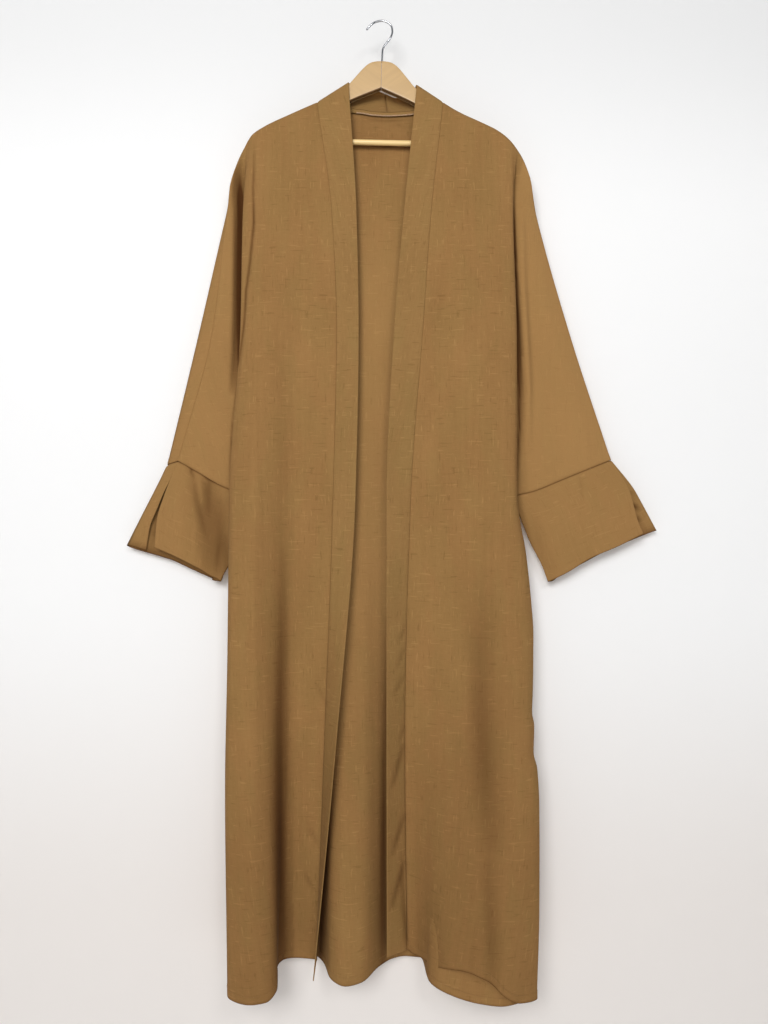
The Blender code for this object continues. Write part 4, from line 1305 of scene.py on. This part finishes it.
def length_setting(label, about, default, low, high):
    return bpy.props.FloatProperty(name=label, description=about, default=default, min=low,
                                   max=high, unit="LENGTH")


def colour_setting(label, about, default):
    return bpy.props.FloatVectorProperty(name=label, description=about, default=default, size=3,
                                         subtype="COLOR", min=0.0, max=1.0)


class ClothSettings(bpy.types.PropertyGroup):
    """Sizes and colours of the cloth."""
    cloth_thick: length_setting("Cloth thickness", "Wall of a single layer of linen",
                                0.0008, 0.0003, 0.002)
    doubled_thick: length_setting("Doubled thickness", "Wall of the folded bands, cuffs and hems",
                                  0.0015, 0.0006, 0.003)
    linen_colour: colour_setting("Linen", "Colour of the panels and cuffs", (0.288, 0.154, 0.051))
    band_colour: colour_setting("Band linen", "Colour of the folded front bands",
                                (0.282, 0.157, 0.052))
    thread_colour: colour_setting("Sewing thread", "Colour of the hem stitches",
                                  (0.27, 0.145, 0.05))
    overlock_colour: colour_setting("Overlock thread", "Colour of the overlocked neck edge",
                                    (0.66, 0.45, 0.30))
    stitch_length: length_setting("Stitch length", "Length of one hem stitch",
                                  0.0028, 0.001, 0.006)


class HangerSettings(bpy.types.PropertyGroup):
    """Colours of the hanger."""
    arm_colour: colour_setting("Arm wood", "Colour of the two hanger arms", (0.545, 0.35, 0.152))
    bar_colour: colour_setting("Bar wood", "Colour of the round trouser bar", (0.87, 0.62, 0.27))
    wire_colour: colour_setting("Hook metal", "Colour of the hook's plating", (0.52, 0.53, 0.55))


class StudioSettings(bpy.types.PropertyGroup):
    """Light and backdrop."""
    wall_colour: colour_setting("Wall", "Colour of the wall and floor", (0.935, 0.933, 0.93))
    key_power: bpy.props.FloatProperty(
        name="Key light", description="Power of the large soft light at the upper left",
        default=61.5, min=0.0, subtype="POWER")
    ambient: bpy.props.FloatProperty(
        name="Ambient", description="Strength of the light from all round",
        default=0.28, min=0.0)


def hem_weights(hem, settings):
    """Solidify weights that double the wall along the turned hem."""
    single = settings.cloth_thick / settings.doubled_thick
    return np.where(hem <= HEM_DEPTH, 1.0, single)


def edge_weights(grid, edges, share):
    """Solidify weights that thin the wall along some of a piece's edges."""
    weights = np.ones(grid.shape[:2])
    for edge in edges:
        weights[edge] = share
    return weights


EDGE_SHADE = 0.7
EDGE_REACH = 1.2
# How much light is painted on each sleeve
SLEEVE_PAINTED_LIGHT = {"right": 1.0, "left": 1.5}
# Painted light: the back is lighter between these heights below the hook seat, each with the length
# of its fade
BACK_PAINTED_LIGHT = ((270, 160), (1180, 260))
LINEN_PATCHY, LINEN_SEED = 0.5, 1.0


def edge_shade(distance):
    """Painted shade: the thin dark line at a raw fold or seam, from how far each point is from it.
    """
    return EDGE_SHADE * bell(distance, EDGE_REACH)


def back_painted_light(grid):
    """Painted light on the back, from the shoulders down to the knee, where the fronts' folds end.
    """
    z = face_place(grid)[1]
    (top, fade), (end, end_fade) = BACK_PAINTED_LIGHT
    return smooth((-z - top) / fade) * smooth((z + end) / end_fade)


def sleeve_painted_light(stations, side):
    """Painted light: 0 on the body of a front panel and about 1 on its sleeve, which is painted
    lighter.
    """
    seam = [line.name for line in FRONT_LINES[side]].index("side_seam")
    return smooth(stations - seam)[None, :] * SLEEVE_PAINTED_LIGHT[side]


class ROBE_OT_panels(bpy.types.Operator):
    """Builds the back and the two front panels, each cut in one with its sleeve halves"""
    bl_idname = "robe.add_panels"
    bl_label = "Panels"

    def execute(self, context):
        settings = context.scene.robe_cloth
        grids = cloth()
        material = linen("linen", settings.linen_colour, LINEN_PATCHY, LINEN_SEED)
        grid, hem = grids["back"], grids["back", "hem"]
        start = column_of(BACK, grids["stations"]["back"], "centre")
        # The back's painted shade in its folds and along its hem, and its painted light
        deep = painted_fold_shade(grid, (), BACK_SHADES) + edge_shade(hem)
        back = add_sheet("back_panel", grid, settings.doubled_thick, hem_weights(hem, settings),
                         start, material, deep, back_painted_light(grid))
        hand_over(back, "linen", "back")
        for side in SIDES:
            grid, hem = grids["front", side], grids["front", side, "hem"]
            # Each front's painted shade in its folds and along its hem, and painted light on its
            # sleeve
            deep = painted_fold_shade(grid, FRONT_CREASES, FRONT_SHADES) + edge_shade(hem)
            front = add_sheet("front_panel_" + side, grid, settings.doubled_thick,
                              hem_weights(hem, settings), 0, material, deep,
                              sleeve_painted_light(grids["stations"][side], side))
            hand_over(front, "linen", "front_" + side)
        return {"FINISHED"}


BAND_PATCHY, BAND_SEED = 0.4, 41.0
# How thin the band's free edge is, as a share of its wall
BAND_FOLD = 0.45
# Painted shade where the bands lie in the hanger's shade behind the neck
NECK_SHADE = 0.17
NECK_SHADE_ROWS = 7


class ROBE_OT_bands(bpy.types.Operator):
    """Builds the folded front bands, which meet behind the neck"""
    bl_idname = "robe.add_bands"
    bl_label = "Front bands"

    def execute(self, context):
        settings = context.scene.robe_cloth
        material = linen("band_linen", settings.band_colour, BAND_PATCHY, BAND_SEED)
        for side in SIDES:
            grid = cloth()["band", side]
            weights = edge_weights(grid, [np.s_[:, -1]], BAND_FOLD)
            past_shoulder = np.arange(len(grid)) - len(cloth()["front", side])
            # Painted shade behind the neck and in the creases
            deep = NECK_SHADE * smooth(past_shoulder / NECK_SHADE_ROWS)[:, None]
            deep = deep + painted_valley_shade(FRONT_CREASES, grid, BAND_VALLEY_DEEP)
            band = add_sheet("front_band_" + side, grid, settings.doubled_thick, weights, 0,
                             material, deep)
            hand_over(band, "band_linen", "band_" + side)
        return {"FINISHED"}


CUFF_PATCHY, CUFF_SEED = 0.5, 71.0
# How much light is painted on the cuffs
CUFF_PAINTED_LIGHT = 0.8
# How thin the cuff's lower edge and its slit's two edges are, as a share of its wall
CUFF_FOLD = 0.5
CUFF_INSIDE_SHADE = 0.5
CUFF_INSIDE_REACH = 9.0


def cuff_edges(grid, station):
    """Painted shade: thin dark lines at the cuff's seam and lower edge, and shade inside its lower
    edge.
    """
    down = travelled(grid)
    rise = down[-1] - down
    inside = CUFF_INSIDE_SHADE * bell(rise, CUFF_INSIDE_REACH) * (station > INNER_FOLD)
    return edge_shade(down) + edge_shade(rise) + inside


class ROBE_OT_cuffs(bpy.types.Operator):
    """Builds the deep turned cuffs, each open along its slit"""
    bl_idname = "robe.add_cuffs"
    bl_label = "Cuffs"

    def execute(self, context):
        settings = context.scene.robe_cloth
        material = linen("cuff_linen", settings.linen_colour, CUFF_PATCHY, CUFF_SEED)
        for side in SIDES:
            grid, station = cloth()["cuff", side], cloth()["cuff", side, "stations"]
            weights = edge_weights(grid, [np.s_[-1], np.s_[:, 0], np.s_[:, -1]], CUFF_FOLD)
            # Painted shade in the folds before the inner fold, on the cloth seen through the slit,
            # and at the edges
            folds = painted_fold_shade(grid, CUFF_CREASES[side], CUFF_SHADES[side])
            slit = crease_push(SLIT_SHADES[side], grid) * (station < SLIT_SHADE_TO[side])
            deep = (np.where(station <= INNER_FOLD + FOLD_MARGIN, folds, slit)
                    + cuff_edges(grid, station))
            cuff = add_sheet("turned_cuff_" + side, grid, settings.doubled_thick, weights, 0,
                             material, deep, CUFF_PAINTED_LIGHT, plumb=False)
            hand_over(cuff, "linen", "cuff_" + side)
        return {"FINISHED"}


ALLOWANCE_DROPS = (0.4, 1.2, 2.4, 4.0, 5.6, 6.6, 7.0)
ALLOWANCE_OUT = 1.3
ALLOWANCE_CURL = 1.6
ALLOWANCE_PATCHY, ALLOWANCE_SEED = 0.3, 55.0
OVERLOCK_FROM = -44.0
OVERLOCK_UNEVEN = 0.12
# The overlock's lines, as shares of the allowance's rows and a shift from them
OVERLOCK_LINES = {"face": ({4: 1.0}, (0, 0.7, 0)), "edge": ({6: 1.0}, (0, 0.5, -0.1)),
                  "inner": ({4: 0.35, 5: 0.65}, (0, 0.75, 0))}
# The overlock's threads: the line, the stitch's length, gap and radius, and how far it leans
OVERLOCK_THREADS = {
    "loops": ("inner", 0.0030, -0.0017, 0.00018, 1.25),
    "back": ("inner", 0.0030, -0.0015, 0.00017, -1.3),
    "edge": ("edge", 0.0016, 0.0004, 0.00022, 0.0),
    "needle": ("face", 0.0018, 0.0006, 0.0002, 0.0),
}


class ROBE_OT_neck_edge(bpy.types.Operator):
    """Builds the seam allowance inside the back of the neck, with its overlocked edge"""
    bl_idname = "robe.add_neck_edge"
    bl_label = "Neck seam allowance"

    def execute(self, context):
        settings = context.scene.robe_cloth
        at = cloth()["stations"]["back"]
        first, last = (column_of(BACK, at, name) for name in (ALLOWANCE_FROM, ALLOWANCE_TO))
        seam = cloth()["back"][0, first:last + 1]
        grid = np.array([seam + (0, ALLOWANCE_OUT + ALLOWANCE_CURL * (drop / ALLOWANCE_WIDE) ** 2,
                                 -drop) for drop in ALLOWANCE_DROPS])
        material = linen("allowance_linen", settings.band_colour, ALLOWANCE_PATCHY,
                         ALLOWANCE_SEED)
        strip = add_sheet("neck_seam_allowance", grid, settings.cloth_thick, 1.0, 0, material)
        hand_over(strip, "overlock", "neck_allowance")
        looped = thread("overlock_thread", settings.overlock_colour)
        lines = {name: sum(grid[row] * share for row, share in rows.items()) + shift
                 for name, (rows, shift) in OVERLOCK_LINES.items()}
        seen = lines["face"][:, 0] > OVERLOCK_FROM
        for number, (name, (line, *stitch)) in enumerate(OVERLOCK_THREADS.items()):
            piece = sew("neck_overlock_" + name, [lines[line][seen]], looped, *stitch,
                        OVERLOCK_UNEVEN, number)
            hand_over(piece, "overlock")
        return {"FINISHED"}


# The hem stitches: how far inside the hem's turned edge, how far off the cloth, how many grid
# points short of each side, and their gap and radius
HEM_STITCH_IN = 1.5
HEM_STITCH_LIFT = 0.05
HEM_STITCH_ENDS = 2
HEM_STITCH_GAP = 0.0009
HEM_STITCH_RADIUS = 0.00022


def hem_lines(grid, hem, columns, lift):
    """Two runs of points along a panel just above its hem, one on each face."""
    first, last = columns
    row = int(np.argmin(abs(hem[:, first] - (HEM_DEPTH - HEM_STITCH_IN))))
    run, below = grid[row:row + 2, first:last + 1]
    normal = unit(np.cross(np.gradient(run, axis=0), below - run))
    return [(run + normal * sign * lift)[HEM_STITCH_ENDS:-HEM_STITCH_ENDS] for sign in (1, -1)]


class ROBE_OT_hem_stitches(bpy.types.Operator):
    """Sews the turned hems with small stitches in matching thread"""
    bl_idname = "robe.add_hem_stitches"
    bl_label = "Hem stitches"

    def execute(self, context):
        settings = context.scene.robe_cloth
        grids, sides = cloth(), cloth()["sides"]
        lift = settings.doubled_thick / 2 / MM + HEM_STITCH_LIFT
        runs = hem_lines(grids["back"], grids["back", "hem"], sides["back"], lift)
        for side in SIDES:
            runs += hem_lines(grids["front", side], grids["front", side, "hem"], sides[side], lift)
        material = thread("sewing_thread", settings.thread_colour)
        stitches = sew("hem_stitches", runs, material, settings.stitch_length, HEM_STITCH_GAP,
                       HEM_STITCH_RADIUS)
        hand_over(stitches, "linen")
        return {"FINISHED"}


class ROBE_OT_hanger(bpy.types.Operator):
    """Builds the two wooden arms, the round bar and the wire hook"""
    bl_idname = "robe.add_hanger"
    bl_label = "Hanger"

    def execute(self, context):
        settings = context.scene.robe_hanger
        for side, sign in SIDES.items():
            material = wood("maple_" + side, "maple", settings.arm_colour, sign * ARM_GRAIN)
            arm = hanger_arm(side, material)
            hand_over(arm, "maple", "hanger_arm_" + side)
        bar = trouser_bar(wood("bar_wood", "bar_wood", settings.bar_colour))
        hand_over(bar, "bar_wood", "hanger_bar")
        wire = hook(chrome("hook_chrome", settings.wire_colour))
        hand_over(wire, "chrome", "hanger_hook")
        return {"FINISHED"}


# The studio, in metres: where the wall and floor are and how they meet
WALL_Y = 0.0505
WALL_TOP = 0.75
FLOOR_Z = -2.1
COVE = 0.16
COVE_TURNS = 13
WALL_WIDE = 1.7
FLOOR_NEAR = -2.8
CAMERA_AT = (0.00225, -1.2, -0.795)
CAMERA_LENS = 26.0
AIR_COLOUR = (0.95, 0.975, 1.0, 1.0)
# Each soft light: name, place, aim, size and share of the key's power
LIGHTS = (
    ("key", (-0.75, -2.8, 0.45), (0.0, 0.0, -0.55), 1.35, 0.8),
    ("side", (0.9, -2.8, 0.85), (0.0, 0.0, -0.5), 0.7, 0.24),
    ("fill", (-0.15, -2.6, -0.35), (0.0, 0.0, -0.75), 1.8, 0.21),
    ("behind", (0.7, 2.4, 0.4), (0.0, 0.0, -0.8), 1.6, 0.35),
)


def backdrop(name, material):
    """One sheet for the wall, the cove and the floor, facing the room."""
    profile = [(WALL_Y, WALL_TOP)]
    profile += [(WALL_Y - COVE * (1 - math.cos(turn)), FLOOR_Z + COVE * (1 - math.sin(turn)))
                for turn in np.linspace(0, math.pi / 2, COVE_TURNS)]
    profile.append((FLOOR_NEAR, FLOOR_Z))
    points = [(x, y, z) for y, z in profile for x in (-WALL_WIDE, WALL_WIDE)]
    faces = [(2 * i, 2 * i + 2, 2 * i + 3, 2 * i + 1) for i in range(len(profile) - 1)]
    return put_mesh(name, points, faces, material)


ROLLER_NOISE = ((0.004, 0.004, 0.004), 1.0, 2.0)
BLOTCH_NOISE = ((0.5, 0.5, 0.5), 6.0, 1.0)
BLOTCH_TINTS = (0.985, 1.01)
# Painted shade and light: the heights between which the wall turns darker at the top, and at the
# bottom darker and warmer with painted light off the floor
WALL_TOP_FROM, WALL_TOP_PAINTED_SHADE = (-0.35, 0.1), 0.85
WALL_LOW_FROM, WALL_LOW_PAINTED_SHADE = (-0.9, -1.5), (0.91, 0.87, 0.84)
WALL_BUMP = (0.1, 0.0003)
WALL_LOOK = {"Roughness": 0.8, "Specular IOR Level": 0.2}


def wall_paint(name, colour):
    """Matt pale paint that is clear from behind, so that views from behind show the robe."""
    material, graph = new_material(name)
    where = graph.object_place()
    blotch = graph.streaks(where, *BLOTCH_NOISE)
    shade = graph.mix(blotch, *(tint(colour, share) for share in BLOTCH_TINTS))
    height = graph.add("ShaderNodeSeparateXYZ", None, {"Vector": where}, output="Z")
    # Painted shade toward the top and the bottom of the wall
    for heights, share in ((WALL_TOP_FROM, WALL_TOP_PAINTED_SHADE), (WALL_LOW_FROM, WALL_LOW_PAINTED_SHADE)):
        shade = graph.mix(height.between(*heights), shade, tint(colour, share))
    bump = graph.bump(graph.streaks(where, *ROLLER_NOISE), *WALL_BUMP)
    paint = graph.principled({"Base Color": shade, **WALL_LOOK, "Normal": bump})
    clear = graph.add("ShaderNodeBsdfTransparent")
    behind = graph.add("ShaderNodeNewGeometry", output="Backfacing")
    shader = graph.add("ShaderNodeMixShader", None, {0: behind, 1: paint, 2: clear})
    return finish_material(material, shader)


class ROBE_OT_studio(bpy.types.Operator):
    """Builds the pale wall and floor, the soft lights and the camera"""
    bl_idname = "robe.add_studio"
    bl_label = "Studio"

    def execute(self, context):
        settings = context.scene.robe_studio
        scene = context.scene
        wall = backdrop("wall_and_floor", wall_paint("wall_paint", settings.wall_colour))
        wall.visible_shadow = False
        for name, at, aim, size, share in LIGHTS:
            light = bpy.data.lights.new(name, "AREA")
            light.shape = "DISK"
            light.size = size
            light.energy = settings.key_power * share
            lamp = put(name, light)
            lamp.location = at
            lamp.rotation_euler = (Vector(aim) - Vector(at)).to_track_quat("-Z", "Y").to_euler()
            lamp.visible_camera = False
        world = bpy.data.worlds.new("studio_air")
        world.use_nodes = True
        air = world.node_tree.nodes["Background"]
        air.inputs["Color"].default_value = AIR_COLOUR
        air.inputs["Strength"].default_value = settings.ambient
        scene.world = world
        camera = put("camera", bpy.data.cameras.new("camera"))
        camera.data.lens = CAMERA_LENS
        camera.location = CAMERA_AT
        camera.rotation_euler = (math.pi / 2, 0, 0)
        scene.camera = camera
        scene.view_settings.view_transform = "Standard"
        return {"FINISHED"}


OPERATORS = (ROBE_OT_studio, ROBE_OT_panels, ROBE_OT_bands, ROBE_OT_cuffs, ROBE_OT_neck_edge,
             ROBE_OT_hem_stitches, ROBE_OT_hanger)


class ROBE_PT_sidebar(bpy.types.Panel):
    """Lists the robe's settings and the pieces that can be built"""
    bl_idname = "ROBE_PT_sidebar"
    bl_label = "Linen robe"
    bl_space_type = "VIEW_3D"
    bl_region_type = "UI"
    bl_category = "Robe"

    def draw(self, context):
        scene = context.scene
        for group in (scene.robe_cloth, scene.robe_hanger, scene.robe_studio):
            box = self.layout.box()
            for name in group.__annotations__:
                box.prop(group, name)
        for operator in OPERATORS:
            self.layout.operator(operator.bl_idname)


SETTINGS = {"robe_cloth": ClothSettings, "robe_hanger": HangerSettings,
            "robe_studio": StudioSettings}


def register():
    for kind in (*SETTINGS.values(), *OPERATORS, ROBE_PT_sidebar):
        bpy.utils.register_class(kind)
    for name, kind in SETTINGS.items():
        setattr(bpy.types.Scene, name, bpy.props.PointerProperty(type=kind))


def unregister():
    for name in SETTINGS:
        delattr(bpy.types.Scene, name)
    for kind in (ROBE_PT_sidebar, *reversed(OPERATORS), *reversed(SETTINGS.values())):
        bpy.utils.unregister_class(kind)


def main():
    register()
    bpy.ops.robe.add_studio()
    bpy.ops.robe.add_panels()
    bpy.ops.robe.add_bands()
    bpy.ops.robe.add_cuffs()
    bpy.ops.robe.add_neck_edge()
    bpy.ops.robe.add_hem_stitches()
    bpy.ops.robe.add_hanger()


if __name__ == "__main__":
    main()
